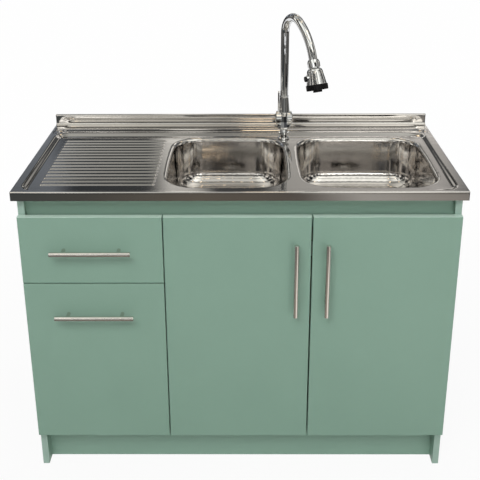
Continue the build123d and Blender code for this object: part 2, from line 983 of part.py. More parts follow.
def knob(start, reach):
    """Round end of the barrel along X, flat inside and domed outside."""
    straight = abs(reach - start) - barrel_dome
    aligned = (Align.CENTER, Align.CENTER, Align.MIN)
    half_ball = Sphere(barrel_radius, arc_size1=0)
    dome = Pos(0, 0, straight) * scale(half_ball, (1, 1, barrel_dome / barrel_radius))
    shape = Cylinder(barrel_radius, straight, align=aligned) + dome
    turn = 90 if reach > start else -90
    return Pos(start, 0, 0) * Rot(0, turn, 0) * shape


def tap_body():
    """Cast body: faceted skirt, cross barrel and upper cone with the spout socket."""
    base_top_z = floor_top + tap_gasket_thickness + tap_base_height
    neck = turned(
        [
            (0, base_top_z),
            (tap_neck_radius + 1.0, base_top_z),
            (tap_neck_radius - 0.5, skirt_bottom - 2.0),
            (tap_neck_radius, skirt_bottom),
            (tap_neck_radius, skirt_top - 6.0),
            (waist_radius - 0.4, skirt_top - 6.0),
            (body_shoulder_radius - 1.0, body_shoulder - 4.0),
            (body_shoulder_radius, body_shoulder),
            (body_top_radius, body_top),
            (0, body_top),
        ]
    )
    rise = skirt_top - skirt_bottom
    sections = (
        (skirt_bottom, tap_neck_radius + 0.5),
        (skirt_bottom + rise * 0.08, skirt_radius - 2.2),
        (skirt_bottom + rise * 0.2, skirt_radius),
        (skirt_bottom + rise * 0.55, (skirt_radius + waist_radius) / 2 - 0.4),
        (skirt_top, waist_radius),
    )
    rings = [Pos(0, 0, z) * RegularPolygon(radius, facet_count) for z, radius in sections]
    body = neck + loft(rings, ruled=True)
    body += Pos(0, 0, barrel_height) * knob(barrel_start, barrel_reach)
    aligned = (Align.CENTER, Align.CENTER, Align.MIN)
    bore = Pos(running_gap - lever_gap, 0, barrel_height) * Rot(0, 90, 0)
    body += bore * Cylinder(barrel_radius - 0.5, lever_gap - barrel_start + 1.0, align=aligned)
    seat_foot = barrel_height - barrel_radius - 0.5
    seat = running_gap - lever_gap
    body -= block(-2 * barrel_reach, seat, -barrel_reach, barrel_reach, seat_foot, body_top)
    body -= bore * Cylinder(cartridge_radius - 3.0, cartridge_length, align=aligned)
    body -= rod(0, 0, body_top - socket_depth, body_top + 1, tail_radius + shaft_clearance)
    return Pos(tap_x, tap_y, 0) * body


def tap_cartridge():
    """Ceramic disc cartridge in the barrel, bored for the lever's stem."""
    aligned = (Align.CENTER, Align.CENTER, Align.MIN)
    place = Pos(running_gap - lever_gap, 0, 0) * Rot(0, 90, 0)
    shape = place * Cylinder(cartridge_radius - 3.0, cartridge_length - 0.2, align=aligned)
    shape -= place * Cylinder(stem_radius + shaft_clearance, stem_length + 1.0, align=aligned)
    return Pos(tap_x, tap_y, barrel_height) * shape


def tap_lever():
    """Domed hub with its stem and the upright blade."""
    hub = knob(-lever_gap, -barrel_reach)
    aligned = (Align.CENTER, Align.CENTER, Align.MIN)
    start = Pos(-lever_gap - 1.0, 0, 0) * Rot(0, 90, 0)
    stem = start * Cylinder(stem_radius, stem_length + 1.0, align=aligned)
    middle = -lever_blade_inner - lever_blade_thickness / 2
    rise = lever_tip - barrel_height
    foot = lever_blade_width / 2
    tip = lever_blade_width * 0.36
    outline = make_face(
        Polyline((-foot, 0), (foot, 0), (tip, rise), (-tip, rise), close=True)
    )
    outline = fillet(outline.vertices().group_by(Axis.Y)[-1], tip * 0.9)
    plane = Plane(origin=(middle, 0, 0), x_dir=(0, 1, 0), z_dir=(1, 0, 0))
    blade = extrude(plane * outline, lever_blade_thickness / 2, both=True)
    return Pos(tap_x, tap_y, barrel_height) * (hub + stem + blade)


def spout_path():
    """Centreline of the gooseneck: straight, tight bend, then a wide bend."""
    azimuth = math.radians(spout_azimuth)
    plane = Plane(
        origin=(tap_x, tap_y, 0),
        x_dir=(math.sin(azimuth), -math.cos(azimuth), 0),
        z_dir=(-math.cos(azimuth), -math.sin(azimuth), 0),
    )
    start = body_top + collar_height
    rise = Line((0, start), (0, spout_straight_top))
    first = TangentArc(
        (0, spout_straight_top), bend_point(first_bend_radius, first_bend_angle), tangent=(0, 1)
    )
    second = TangentArc(first @ 1, spout_end_point(), tangent=first % 1)
    tail = Line(second @ 1, second @ 1 + (second % 1) * spout_tail)
    return Wire([plane * part for part in (rise, first, second, tail)])


def bend_point(radius, angle):
    """Where a bend that starts upright at the top of the straight part ends."""
    turn = math.radians(angle)
    return (
        radius * (1 - math.cos(turn)),
        spout_straight_top + radius * math.sin(turn),
    )


def spout_end_point():
    """Far end of the second bend, in the spout's own plane."""
    first = math.radians(first_bend_angle)
    total = math.radians(first_bend_angle + second_bend_angle)
    x, z = bend_point(first_bend_radius, first_bend_angle)
    return (
        x + second_bend_radius * (math.cos(first) - math.cos(total)),
        z + second_bend_radius * (math.sin(total) - math.sin(first)),
    )


def spout_end_frame():
    """Frame at the spout's mouth, its z axis along the flow."""
    azimuth = math.radians(spout_azimuth)
    total = math.radians(first_bend_angle + second_bend_angle)
    x, z = spout_end_point()
    out = (math.sin(azimuth), -math.cos(azimuth))
    origin = (tap_x + x * out[0], tap_y + x * out[1], z)
    flow = (math.sin(total) * out[0], math.sin(total) * out[1], math.cos(total))
    side = (-math.cos(azimuth), -math.sin(azimuth), 0)
    return Plane(origin=origin, x_dir=side, z_dir=flow)


def spout_pipe():
    """Bent tube, open at both ends."""
    path = spout_path()
    start = Plane(origin=path @ 0, z_dir=path % 0)
    outer = sweep(start * Circle(spout_radius), path=path)
    inner = sweep(start * Circle(spout_radius - spout_wall), path=path)
    return outer - inner


def spout_collar():
    """Swivel collar with the tail that turns in the body's socket."""
    bottom = body_top - socket_depth + 1.0
    shape = turned(
        [
            (spout_radius - 2 * spout_wall, bottom),
            (tail_radius, bottom),
            (tail_radius, body_top + running_gap),
            (body_top_radius + 0.6, body_top + running_gap),
            (body_top_radius + 0.6, body_top + collar_height - 1.0),
            (spout_radius, body_top + collar_height),
            (spout_radius - 2 * spout_wall, body_top + collar_height),
        ],
        tap_x,
        tap_y,
    )
    return shape


def head_turned(points):
    """Solid of revolution about the flow axis at the spout's mouth."""
    face = make_face(Plane.XZ * Polyline(*points, close=True))
    return spout_end_frame().location * revolve(face, Axis.Z)


def spout_end_nut():
    """Ball-joint nut on the spout's mouth with the stem that carries the head."""
    bore = spout_radius + shaft_clearance
    return head_turned(
        [
            (bore, 0),
            (spout_radius + 2.2, 0),
            (end_nut_radius - 1.0, 5.0),
            (end_nut_radius, 9.0),
            (end_nut_radius, end_nut_length - 3.0),
            (end_nut_radius - 3.0, end_nut_length),
            (ball_stem_radius, end_nut_length),
            (ball_stem_radius, end_nut_length + ball_stem_length),
            (ball_stem_radius - 2.5, end_nut_length + ball_stem_length),
            (ball_stem_radius - 2.5, spout_tail + 0.1),
            (bore, spout_tail + 0.1),
        ]
    )


def head_bell():
    """Fluted bell that turns on the nut's stem, bored for the button."""
    top = end_nut_length + running_gap
    bottom = top + bell_length
    shoulder = top + 10.0
    outline = [
        Line((0, top), (bell_top_radius - 8.0, top)),
        ThreePointArc(
            (bell_top_radius - 8.0, top),
            (bell_top_radius - 1.5, top + 3.0),
            (bell_top_radius + 1.5, shoulder),
        ),
        Line((bell_top_radius + 1.5, shoulder), (bell_bottom_radius, bottom)),
        Line((bell_bottom_radius, bottom), (0, bottom)),
        Line((0, bottom), (0, top)),
    ]
    bell = Plane.XZ * make_face(outline)
    body = revolve(bell, Axis.Z)
    slant = math.atan2(bell_bottom_radius - bell_top_radius - 1.5, bell_length - 10.0)
    for number in range(flute_count):
        turn = 360.0 * (number + 0.5) / flute_count
        groove = Pos(bell_top_radius + 3.0, 0, top + 12.0) * Rot(0, math.degrees(slant), 0)
        groove = groove * Pos(0, 0, bell_length / 2) * Cylinder(flute_radius, bell_length)
        body -= Rot(0, 0, turn) * groove
    boss = Rot(0, 0, button_azimuth) * Pos(0, 0, top + button_height) * Rot(0, 90, 0)
    aligned = (Align.CENTER, Align.CENTER, Align.MIN)
    body += boss * Cylinder(button_radius + 2.5, bell_bottom_radius - 1.0, align=aligned)
    body -= boss * Pos(0, 0, 13.0) * Cylinder(button_radius + 0.15, 40.0, align=aligned)
    socket = ball_stem_length + running_gap
    body -= rod(0, 0, top - 1, top + socket, ball_stem_radius + shaft_clearance)
    return spout_end_frame().location * body


def head_button():
    """Push button in the bell's side boss."""
    top = end_nut_length + running_gap
    boss = Rot(0, 0, button_azimuth) * Pos(0, 0, top + button_height) * Rot(0, 90, 0)
    reach = bell_bottom_radius - 1.0 + button_stand
    aligned = (Align.CENTER, Align.CENTER, Align.MIN)
    cap = Pos(0, 0, 17.0) * Cylinder(button_radius, reach - 17.0, align=aligned)
    cap = fillet(cap.edges().sort_by(Axis.Z)[-1], 2.0)
    return spout_end_frame().location * boss * cap


def head_grip():
    """Black grip ring with finger notches round the spray face."""
    start = end_nut_length + running_gap + bell_length
    ring = rod(0, 0, start, start + grip_length, grip_radius)
    ring = fillet(ring.edges().group_by(Axis.Z)[-1], 2.0)
    ring -= rod(0, 0, start - 1, start + grip_length + 1, grip_radius - 6.0)
    notches = PolarLocations(grip_radius + 1.6, notch_count)
    ring -= [
        Pos(0, 0, start + grip_length / 2) * spot * Cylinder(2.6, grip_length * 1.2)
        for spot in notches.locations
    ]
    return spout_end_frame().location * ring


def head_nozzle():
    """Spray face inside the ring with the round nozzle standing out of it."""
    start = end_nut_length + running_gap + bell_length
    face = start + grip_length - 3.0
    shape = rod(0, 0, start, face, grip_radius - 6.0)
    shape += rod(0, 0, face, start + grip_length + nozzle_length, nozzle_radius)
    shape -= rod(0, 0, face, start + grip_length + nozzle_length + 1, nozzle_radius - 2.5)
    holes = PolarLocations((grip_radius - 6.0 + nozzle_radius) / 2, nozzle_holes)
    shape -= [Pos(0, 0, face) * spot * Cylinder(1.4, 6.0) for spot in holes.locations]
    return spout_end_frame().location * shape


bowl_sides = ((left_bowl_left, left_bowl_right), (right_bowl_left, right_bowl_right))
hinge_heights = (front_bottom + hinge_inset, front_top - hinge_inset)
trap_outlet_height = trap_top - 42.0
tail_radius = body_top_radius - 3.0
button_azimuth = 15.0


def main():
    os.makedirs("parts", exist_ok=True)

    save("left_side_panel", side_panel(-1))
    save("right_side_panel", side_panel(1))
    save("divider_panel", divider())
    save(
        "base_panel",
        block(-inner_side, inner_side, carcass_front, back_face, base_height, base_top),
    )
    kick = carcass_front + kick_setback
    save("kickboard", block(-inner_side, inner_side, kick, kick + board, 0, base_height))
    rail_bottom = carcass_top - rail_height
    save("front_rail", block(-inner_side, inner_side, rail_front, rail_back, rail_bottom, carcass_top))
    save(
        "back_rail",
        block(
            -inner_side,
            inner_side,
            back_face - back_rail_depth,
            back_face,
            carcass_top - board,
            carcass_top,
        ),
    )
    save("back_panel", back_panel())
    save("sink_support_boards", *support_boards())
    save("angle_brackets", *angle_brackets())

    save("sink_top", sink_top())
    save("left_bowl", bowl(left_bowl_left, left_bowl_right))
    save("right_bowl", bowl(right_bowl_left, right_bowl_right))
    middles = (left_bowl_mid, right_bowl_mid)
    save("strainer_bodies", *[strainer_body(x) for x in middles])
    save("strainer_gaskets", *[strainer_gasket(x) for x in middles])
    save("strainer_nuts", *[strainer_nut(x) for x in middles])
    save("left_strainer_basket", strainer_basket(left_bowl_mid))
    save("right_strainer_basket", strainer_basket(right_bowl_mid))
    save("waste_left_pipe", waste_left())
    save("waste_tee", waste_tee())
    save("slip_nuts", *slip_nuts())
    save("bottle_trap", bottle_trap())
    save("outlet_pipe", outlet_pipe())

    save("tap_base", tap_base())
    save("tap_gasket", tap_gasket())
    save("tap_back_nut", tap_back_nut())
    save("tap_body", tap_body())
    save("tap_cartridge", tap_cartridge())
    save("tap_lever", tap_lever())
    save("spout_collar", spout_collar())
    save("spout_pipe", spout_pipe())
    save("spout_end_nut", spout_end_nut())
    save("head_bell", head_bell())
    save("head_grip", head_grip())
    save("head_nozzle", head_nozzle())
    save("head_button", head_button())

    column_middle = (-half_carcass + drawer_front_right) / 2
    drawers = (
        ("upper", drawer_split + reveal / 2, front_top, upper_box_bottom, upper_box_height,
         upper_runner_height, upper_handle_height),
        ("lower", front_bottom, drawer_split - reveal / 2, lower_box_bottom, lower_box_height,
         lower_runner_height, lower_handle_height),
    )
    cabinet_runners = []
    for name, z0, z1, bottom, height, runner_z, handle_z in drawers:
        save(name + "_drawer_front", front_panel(-half_carcass, drawer_front_right, z0, z1))
        save(name + "_drawer_sides", *drawer_sides(bottom, height))
        save(name + "_drawer_ends", *drawer_ends(bottom, height))
        save(name + "_drawer_bottom", drawer_bottom(bottom))
        save(name + "_drawer_handle", bar_handle(column_middle, handle_z, False))
        save(name + "_middle_runners", *runners("middle", runner_z))
        save(name + "_drawer_runners", *runners("drawer", runner_z))
        cabinet_runners += runners("cabinet", runner_z)
    save("cabinet_runners", *cabinet_runners)

    doors = (
        ("left", left_door_left, left_door_right, left_door_left, 1,
         left_door_right - handle_edge, divider_right - left_door_left),
        ("right", right_door_left, half_carcass, half_carcass, -1,
         right_door_left + handle_edge, board),
    )
    arms = []
    for name, x0, x1, hinge_x, inward, handle_x, overlay in doors:
        save(name + "_door_panel", door_panel(x0, x1, hinge_x, inward))
        save(name + "_door_handle", bar_handle(handle_x, door_handle_height, True))
        save(name + "_hinge_cups", *[hinge_cup(hinge_x, inward, z) for z in hinge_heights])
        arms += [hinge_arm(hinge_x, inward, z, overlay) for z in hinge_heights]
    save("hinge_arms", *arms)


main()
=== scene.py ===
import bpy
import bmesh
import json
import math
from mathutils import Matrix, Vector, geometry, noise


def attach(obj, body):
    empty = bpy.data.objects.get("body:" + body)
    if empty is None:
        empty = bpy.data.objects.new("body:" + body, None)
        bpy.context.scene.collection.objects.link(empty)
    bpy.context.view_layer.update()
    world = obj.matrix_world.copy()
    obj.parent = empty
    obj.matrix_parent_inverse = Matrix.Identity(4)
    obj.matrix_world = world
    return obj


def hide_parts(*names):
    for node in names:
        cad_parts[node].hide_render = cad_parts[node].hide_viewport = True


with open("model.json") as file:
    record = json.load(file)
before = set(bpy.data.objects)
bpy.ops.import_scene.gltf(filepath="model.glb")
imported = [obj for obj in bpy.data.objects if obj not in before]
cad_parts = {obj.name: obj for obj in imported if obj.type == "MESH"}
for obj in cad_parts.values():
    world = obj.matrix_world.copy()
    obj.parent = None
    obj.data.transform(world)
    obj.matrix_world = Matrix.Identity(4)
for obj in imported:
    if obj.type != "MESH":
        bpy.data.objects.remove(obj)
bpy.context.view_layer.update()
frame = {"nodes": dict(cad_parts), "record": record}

nodes = frame["nodes"]
scene = bpy.context.scene
print("frame loaded,", len(nodes), "pieces")


def fromHex(code):
    # sRGB hex to the linear colour that a socket wants
    parts = [int(code[i:i + 2], 16) / 255 for i in (1, 3, 5)]
    linear = [p / 12.92 if p <= 0.04045 else ((p + 0.055) / 1.055) ** 2.4 for p in parts]
    return (*linear, 1.0)


def perMetre(millimetres):
    # texture scale that gives features of about this size
    return 1000.0 / millimetres


def addNode(tree, kind, settings=None, links=None):
    # settings and links go by socket name or number, and anything else is a property
    node = tree.nodes.new(kind)
    for key, value in (settings or {}).items():
        if isinstance(key, int) or key in node.inputs:
            node.inputs[key].default_value = value
        else:
            setattr(node, key, value)
    for key, source in (links or {}).items():
        tree.links.new(source, node.inputs[key])
    return node


def startMaterial(name):
    material = bpy.data.materials.new(name)
    material.use_nodes = True
    tree = material.node_tree
    tree.nodes.clear()
    shader = addNode(tree, "ShaderNodeBsdfPrincipled")
    addNode(tree, "ShaderNodeOutputMaterial", links={"Surface": shader.outputs[0]})
    place = addNode(tree, "ShaderNodeTexCoord").outputs["Object"]
    return material, tree, shader, place


foilBoard = {
    "sage": "#7F9D8D",
    "sageDeep": "#7A9888",
    "edgeBandAndPaintedHighlightTones": {"front": "#91A99D", "top": "#BFD7CB"},  # front is an edge band a shade paler than the faces; top is a painted highlight, a much paler sage that lifts the top edges standing in the worktop's shadow
    "frontFacing": -0.9,  # a front edge's normal points this far forward
    # upward faces this level or flatter get the painted highlight
    "paintedHighlightFacing": 0.5,
    "paintedHighlightAbove": 0.806,  # only the top edges of the doors and the upper drawer reach this height, and only they get the painted highlight
    "roughness": (0.42, 0.51),
    "cloudMm": 160.0,
    "peelMm": 1.4,
    "peelBump": 0.12,
    "peelDepth": 0.0002,
}


def makeFoilBoard(name, edge=None):
    # chipboard faced with pressed satin foil: one even sage, faintly clouded, with fine orange peel; edge
    # front adds a paler edge band, edge top paints a highlight on the high top edges
    material, tree, shader, place = startMaterial(name)
    cloud = addNode(tree, "ShaderNodeTexNoise",
                    {"Scale": perMetre(foilBoard["cloudMm"]), "Detail": 3.0}, {"Vector": place})
    tone = addNode(tree, "ShaderNodeMix",
                   {"data_type": "RGBA", 6: fromHex(foilBoard["sage"]), 7: fromHex(foilBoard["sageDeep"])},
                   {0: cloud.outputs["Fac"]})
    colour = tone.outputs[2]
    if edge:
        normal = addNode(tree, "ShaderNodeNewGeometry").outputs["True Normal"]
        facing = addNode(tree, "ShaderNodeSeparateXYZ", links={0: normal})
        if edge == "front":
            edgeBandAndPaintedHighlightShare = addNode(tree, "ShaderNodeMath", {"operation": "LESS_THAN", 1: foilBoard["frontFacing"]},
                            {0: facing.outputs["Y"]})
        else:
            # painted highlight: upward faces of the highest front boards' top edges take a much paler sage
            # where the worktop's shadow falls on them
            height = addNode(tree, "ShaderNodeSeparateXYZ", links={0: place}).outputs["Z"]
            high = addNode(tree, "ShaderNodeMath", {"operation": "GREATER_THAN", 1: foilBoard["paintedHighlightAbove"]},
                           {0: height})
            level = addNode(tree, "ShaderNodeMath", {"operation": "GREATER_THAN", 1: foilBoard["paintedHighlightFacing"]},
                            {0: facing.outputs["Z"]})
            edgeBandAndPaintedHighlightShare = addNode(tree, "ShaderNodeMath", {"operation": "MULTIPLY"},
                            {0: high.outputs[0], 1: level.outputs[0]})
        # mixes in the paler tone: a real edge band on front edges, a painted highlight on top edges
        edgeBandAndPaintedHighlightMix = addNode(tree, "ShaderNodeMix", {"data_type": "RGBA", 7: fromHex(foilBoard["edgeBandAndPaintedHighlightTones"][edge])},
                       {0: edgeBandAndPaintedHighlightShare.outputs[0], 6: colour})
        colour = edgeBandAndPaintedHighlightMix.outputs[2]
    tree.links.new(colour, shader.inputs["Base Color"])
    peel = addNode(tree, "ShaderNodeTexNoise",
                   {"Scale": perMetre(foilBoard["peelMm"]), "Detail": 2.0}, {"Vector": place})
    bump = addNode(tree, "ShaderNodeBump",
                   {"Strength": foilBoard["peelBump"], "Distance": foilBoard["peelDepth"]},
                   {"Height": peel.outputs["Fac"]})
    tree.links.new(bump.outputs[0], shader.inputs["Normal"])
    glossy, matt = foilBoard["roughness"]
    gloss = addNode(tree, "ShaderNodeMapRange", {"To Min": glossy, "To Max": matt},
                    {"Value": cloud.outputs["Fac"]})
    tree.links.new(gloss.outputs[0], shader.inputs["Roughness"])
    return material


plainBoards = {
    # printed paper under clear melamine resin: pale, smooth and nearly even
    "melamineFacedBoard": {"pale": "#E4E4E0", "deep": "#DADAD5", "grainMm": 3.0, "roughness": 0.45},
    # wood fibre pressed hard and smooth: brown, with short soft fibres
    "pressedHardboard": {"pale": "#8A6B4B", "deep": "#6E5238", "grainMm": 5.0, "roughness": 0.6},
    # glued flakes as sawn: straw coloured, each flake its own shade
    "rawChipboard": {"pale": "#D9BE92", "deep": "#A98A5E", "grainMm": 4.0, "roughness": 0.85, "flaked": True},
}
boardBump = {"strength": 0.2, "depth": 0.0003}


def makePlainBoard(name):
    sizes = plainBoards[name]
    material, tree, shader, place = startMaterial(name)
    scale = perMetre(sizes["grainMm"])
    if sizes.get("flaked"):
        grain = addNode(tree, "ShaderNodeTexVoronoi", {"Scale": scale}, {"Vector": place}).outputs["Color"]
    else:
        fibre = addNode(tree, "ShaderNodeTexNoise", {"Scale": scale, "Detail": 6.0}, {"Vector": place})
        grain = fibre.outputs["Fac"]
    grey = addNode(tree, "ShaderNodeRGBToBW", links={0: grain}).outputs[0]
    tone = addNode(tree, "ShaderNodeMix",
                   {"data_type": "RGBA", 6: fromHex(sizes["deep"]), 7: fromHex(sizes["pale"])}, {0: grey})
    bump = addNode(tree, "ShaderNodeBump",
                   {"Strength": boardBump["strength"], "Distance": boardBump["depth"]}, {"Height": grey})
    tree.links.new(tone.outputs[2], shader.inputs["Base Color"])
    tree.links.new(bump.outputs[0], shader.inputs["Normal"])
    shader.inputs["Roughness"].default_value = sizes["roughness"]
    return material


steelSheet = {
    "pale": "#D6D3D0",
    "dull": "#C9C6C3",
    "patchMm": 90.0,  # size of the slightly duller patches that wiping leaves
    "patchFrom": (0.3, 0.7),  # noise levels of the brightest and the dullest patches
    "patchSpread": 0.03,
    # real polishing lines are finer than a pixel, and these are drawn as coarse as they need to show
    "polishMm": {"along": 14.0, "across": 0.5},
    "polishDepth": 0.0002,
    # the press leaves long low waves along the worktop, the deep draw flutes up a bowl's walls
    "wavesMm": {"x": (300.0, 22.0, 22.0), "z": (20.0, 20.0, 600.0)},
    "waveDepth": 0.002,
}

steelFinishes = {
    # rolled bright, pressed and wiped: near to a mirror, drawn out along the worktop
    "pressedStainlessSheet": {"along": "x", "roughness": 0.08, "lineBump": 0.008, "waveBump": 0.05},
    # small pressings, buffed: a softer shine with fine lines
    "polishedStainlessPressing": {"along": "x", "roughness": 0.14, "lineBump": 0.05, "waveBump": 0.04},
    # drawn deep and polished: a shine broken up into upright streaks
    "deepDrawnStainless": {"along": "z", "roughness": 0.10, "lineBump": 0.008, "waveBump": 0.20},
}


def makeSteel(name):
    sizes = steelFinishes[name]
    material, tree, shader, place = startMaterial(name)
    lineScale = [perMetre(steelSheet["polishMm"]["across"])] * 3
    lineScale["xyz".index(sizes["along"])] = perMetre(steelSheet["polishMm"]["along"])
    linePlace = addNode(tree, "ShaderNodeMapping", {"Scale": lineScale}, {"Vector": place})
    lines = addNode(tree, "ShaderNodeTexNoise", {"Scale": 1.0, "Detail": 4.0},
                    {"Vector": linePlace.outputs[0]})
    waveScale = [perMetre(size) for size in steelSheet["wavesMm"][sizes["along"]]]
    wavePlace = addNode(tree, "ShaderNodeMapping", {"Scale": waveScale}, {"Vector": place})
    waves = addNode(tree, "ShaderNodeTexNoise", {"Scale": 1.0, "Detail": 1.0},
                    {"Vector": wavePlace.outputs[0]})
    patches = addNode(tree, "ShaderNodeTexNoise",
                      {"Scale": perMetre(steelSheet["patchMm"]), "Detail": 4.0}, {"Vector": place})
    tone = addNode(tree, "ShaderNodeMix",
                   {"data_type": "RGBA", 6: fromHex(steelSheet["dull"]), 7: fromHex(steelSheet["pale"])},
                   {0: patches.outputs["Fac"]})
    tree.links.new(tone.outputs[2], shader.inputs["Base Color"])
    low, high = steelSheet["patchFrom"]
    dull = addNode(tree, "ShaderNodeMapRange",
                   {"From Min": low, "From Max": high,
                    "To Min": sizes["roughness"] - steelSheet["patchSpread"],
                    "To Max": sizes["roughness"] + steelSheet["patchSpread"]},
                   {"Value": patches.outputs["Fac"]})
    tree.links.new(dull.outputs[0], shader.inputs["Roughness"])
    shader.inputs["Metallic"].default_value = 1.0
    press = addNode(tree, "ShaderNodeBump",
                    {"Strength": sizes["waveBump"], "Distance": steelSheet["waveDepth"]},
                    {"Height": waves.outputs["Fac"]})
    polish = addNode(tree, "ShaderNodeBump",
                     {"Strength": sizes["lineBump"], "Distance": steelSheet["polishDepth"]},
                     {"Height": lines.outputs["Fac"], "Normal": press.outputs[0]})
    tree.links.new(polish.outputs[0], shader.inputs["Normal"])
    return material


chromePlate = {
    "chrome": "#DCDDDE",
    "roughness": (0.0225, 0.072),
    "spotMm": 9.0,
    "rippleMm": 24.0,
    "rippleBump": 0.25,
    "rippleDepth": 0.0006,
}


def makeChrome(name):
    # bright chrome plated over cast and polished brass: a mirror with a very slight ripple
    material, tree, shader, place = startMaterial(name)
    ripple = addNode(tree, "ShaderNodeTexNoise",
                     {"Scale": perMetre(chromePlate["rippleMm"]), "Detail": 1.0}, {"Vector": place})
    spots = addNode(tree, "ShaderNodeTexNoise",
                    {"Scale": perMetre(chromePlate["spotMm"]), "Detail": 3.0}, {"Vector": place})
    clear, dimmed = chromePlate["roughness"]
    dull = addNode(tree, "ShaderNodeMapRange", {"To Min": clear, "To Max": dimmed},
                   {"Value": spots.outputs["Fac"]})
    bump = addNode(tree, "ShaderNodeBump",
                   {"Strength": chromePlate["rippleBump"], "Distance": chromePlate["rippleDepth"]},
                   {"Height": ripple.outputs["Fac"]})
    shader.inputs["Base Color"].default_value = fromHex(chromePlate["chrome"])
    shader.inputs["Metallic"].default_value = 1.0
    tree.links.new(dull.outputs[0], shader.inputs["Roughness"])
    tree.links.new(bump.outputs[0], shader.inputs["Normal"])
    return material


def addGrain(tree, shader, place, sizes, detail, depth):
    # one grain gives both the colour, from deep to pale, and the bump
    grain = addNode(tree, "ShaderNodeTexNoise", {"Scale": perMetre(sizes["grainMm"]), "Detail": detail},
                    {"Vector": place})
    tone = addNode(tree, "ShaderNodeMix",
                   {"data_type": "RGBA", 6: fromHex(sizes["deep"]), 7: fromHex(sizes["pale"])},
                   {0: grain.outputs["Fac"]})
    bump = addNode(tree, "ShaderNodeBump", {"Strength": sizes["bump"], "Distance": depth},
                   {"Height": grain.outputs["Fac"]})
    tree.links.new(tone.outputs[2], shader.inputs["Base Color"])
    tree.links.new(bump.outputs[0], shader.inputs["Normal"])


smallMetals = {
    # stainless bar ground fine: a pale satin shine
    "groundStainlessBar": {"pale": "#E4E1DC", "deep": "#D2CEC9", "roughness": 0.17,
                           "grainMm": 0.6, "bump": 0.06},
    # steel strip with zinc plate: grey, dull and faintly mottled
    "zincPlatedSteel": {"pale": "#C3C6C8", "deep": "#A2A6A9", "roughness": 0.35,
                        "grainMm": 2.5, "bump": 0.25},
    # brass as it comes off the lathe: yellow, with a soft shine
    "turnedBrass": {"pale": "#C9A35A", "deep": "#A8823F", "roughness": 0.3,
                    "grainMm": 1.0, "bump": 0.25},
}


def makeSmallMetal(name):
    sizes = smallMetals[name]
    material, tree, shader, place = startMaterial(name)
    addGrain(tree, shader, place, sizes, detail=4.0, depth=0.0001)
    shader.inputs["Metallic"].default_value = 1.0
    shader.inputs["Roughness"].default_value = sizes["roughness"]
    return material


mouldings = {
    # ABS moulded in a fine texture: near black, with little shine
    "mouldedBlackAbs": {"pale": "#0C0C0D", "deep": "#060607", "roughness": 0.42,
                        "ior": 1.54, "shine": 0.2, "grainMm": 1.2, "bump": 0.05},
    # nitrile rubber: matt charcoal
    "mouldedNitrileRubber": {"pale": "#161616", "deep": "#0C0C0C", "roughness": 0.7,
                             "ior": 1.5, "shine": 0.5, "grainMm": 1.0, "bump": 0.2},
    # polypropylene waste fittings: milky white, slightly waxy
    "mouldedPolypropylene": {"pale": "#E9E8E3", "deep": "#DEDDD7", "roughness": 0.38,
                             "ior": 1.49, "shine": 0.5, "grainMm": 2.0, "bump": 0.1},
    # acetal cartridge: off-white and smooth
    "mouldedAcetal": {"pale": "#D6D0BE", "deep": "#C8C1AD", "roughness": 0.4,
                      "ior": 1.48, "shine": 0.5, "grainMm": 2.0, "bump": 0.1},
}


def makeMoulding(name):
    sizes = mouldings[name]
    material, tree, shader, place = startMaterial(name)
    addGrain(tree, shader, place, sizes, detail=3.0, depth=0.0002)
    shader.inputs["Roughness"].default_value = sizes["roughness"]
    shader.inputs["IOR"].default_value = sizes["ior"]
    shader.inputs["Specular IOR Level"].default_value = sizes["shine"]
    return material


finishes = {
    "carcass_board": makeFoilBoard("sageFoilCarcassBoard"),
    # the front boards get a painted highlight on their top edges
    "front_board": makeFoilBoard("sageFoilFrontBoardPaintedTopHighlight", "top"),
    "hardboard": makePlainBoard("pressedHardboard"),
    "bare_board": makePlainBoard("rawChipboard"),
    "drawer_board": makePlainBoard("melamineFacedBoard"),
    "stainless_sheet": makeSteel("pressedStainlessSheet"),
    "polished_steel": makeSteel("polishedStainlessPressing"),
    "black_rubber": makeMoulding("mouldedNitrileRubber"),
    "waste_plastic": makeMoulding("mouldedPolypropylene"),
    "tap_chrome": makeChrome("brightChromeOnBrass"),
    "nut_brass": makeSmallMetal("turnedBrass"),
    "black_plastic": makeMoulding("mouldedBlackAbs"),
    "cartridge_plastic": makeMoulding("mouldedAcetal"),
    "handle_steel": makeSmallMetal("groundStainlessBar"),
    "plated_steel": makeSmallMetal("zincPlatedSteel"),
}
bowlSteel = makeSteel("deepDrawnStainless")
edgedBoard = makeFoilBoard("sageFoilBoardWithEdgeBand", "front")
ownFinish = {
    "left_bowl": bowlSteel,
    "right_bowl": bowlSteel,
    "left_side_panel": edgedBoard,
    "right_side_panel": edgedBoard,
}
print("materials made")

softEdges = {
    "gentleDegrees": 38,  # edges that turn less than this shade smooth
    "boardEdge": {"width": 0.0008, "segments": 2, "degrees": 60},
}


def makeSmoother(name):
    # shades smooth across gentle edges and leaves the sharp ones
    group = bpy.data.node_groups.new(name, "GeometryNodeTree")
    group.interface.new_socket(name="Geometry", in_out="INPUT", socket_type="NodeSocketGeometry")
    group.interface.new_socket(name="Geometry", in_out="OUTPUT", socket_type="NodeSocketGeometry")
    start = addNode(group, "NodeGroupInput")
    angle = addNode(group, "GeometryNodeInputMeshEdgeAngle")
    gentle = addNode(group, "FunctionNodeCompare",
                     {"data_type": "FLOAT", "operation": "LESS_THAN",
                      1: math.radians(softEdges["gentleDegrees"])}, {0: angle.outputs[0]})
    faces = addNode(group, "GeometryNodeSetShadeSmooth", {"domain": "FACE", "Shade Smooth": True},
                    {"Geometry": start.outputs[0]})
    edges = addNode(group, "GeometryNodeSetShadeSmooth", {"domain": "EDGE"},
                    {"Geometry": faces.outputs[0], "Shade Smooth": gentle.outputs[0]})
    addNode(group, "NodeGroupOutput", links={0: edges.outputs[0]})
    return group


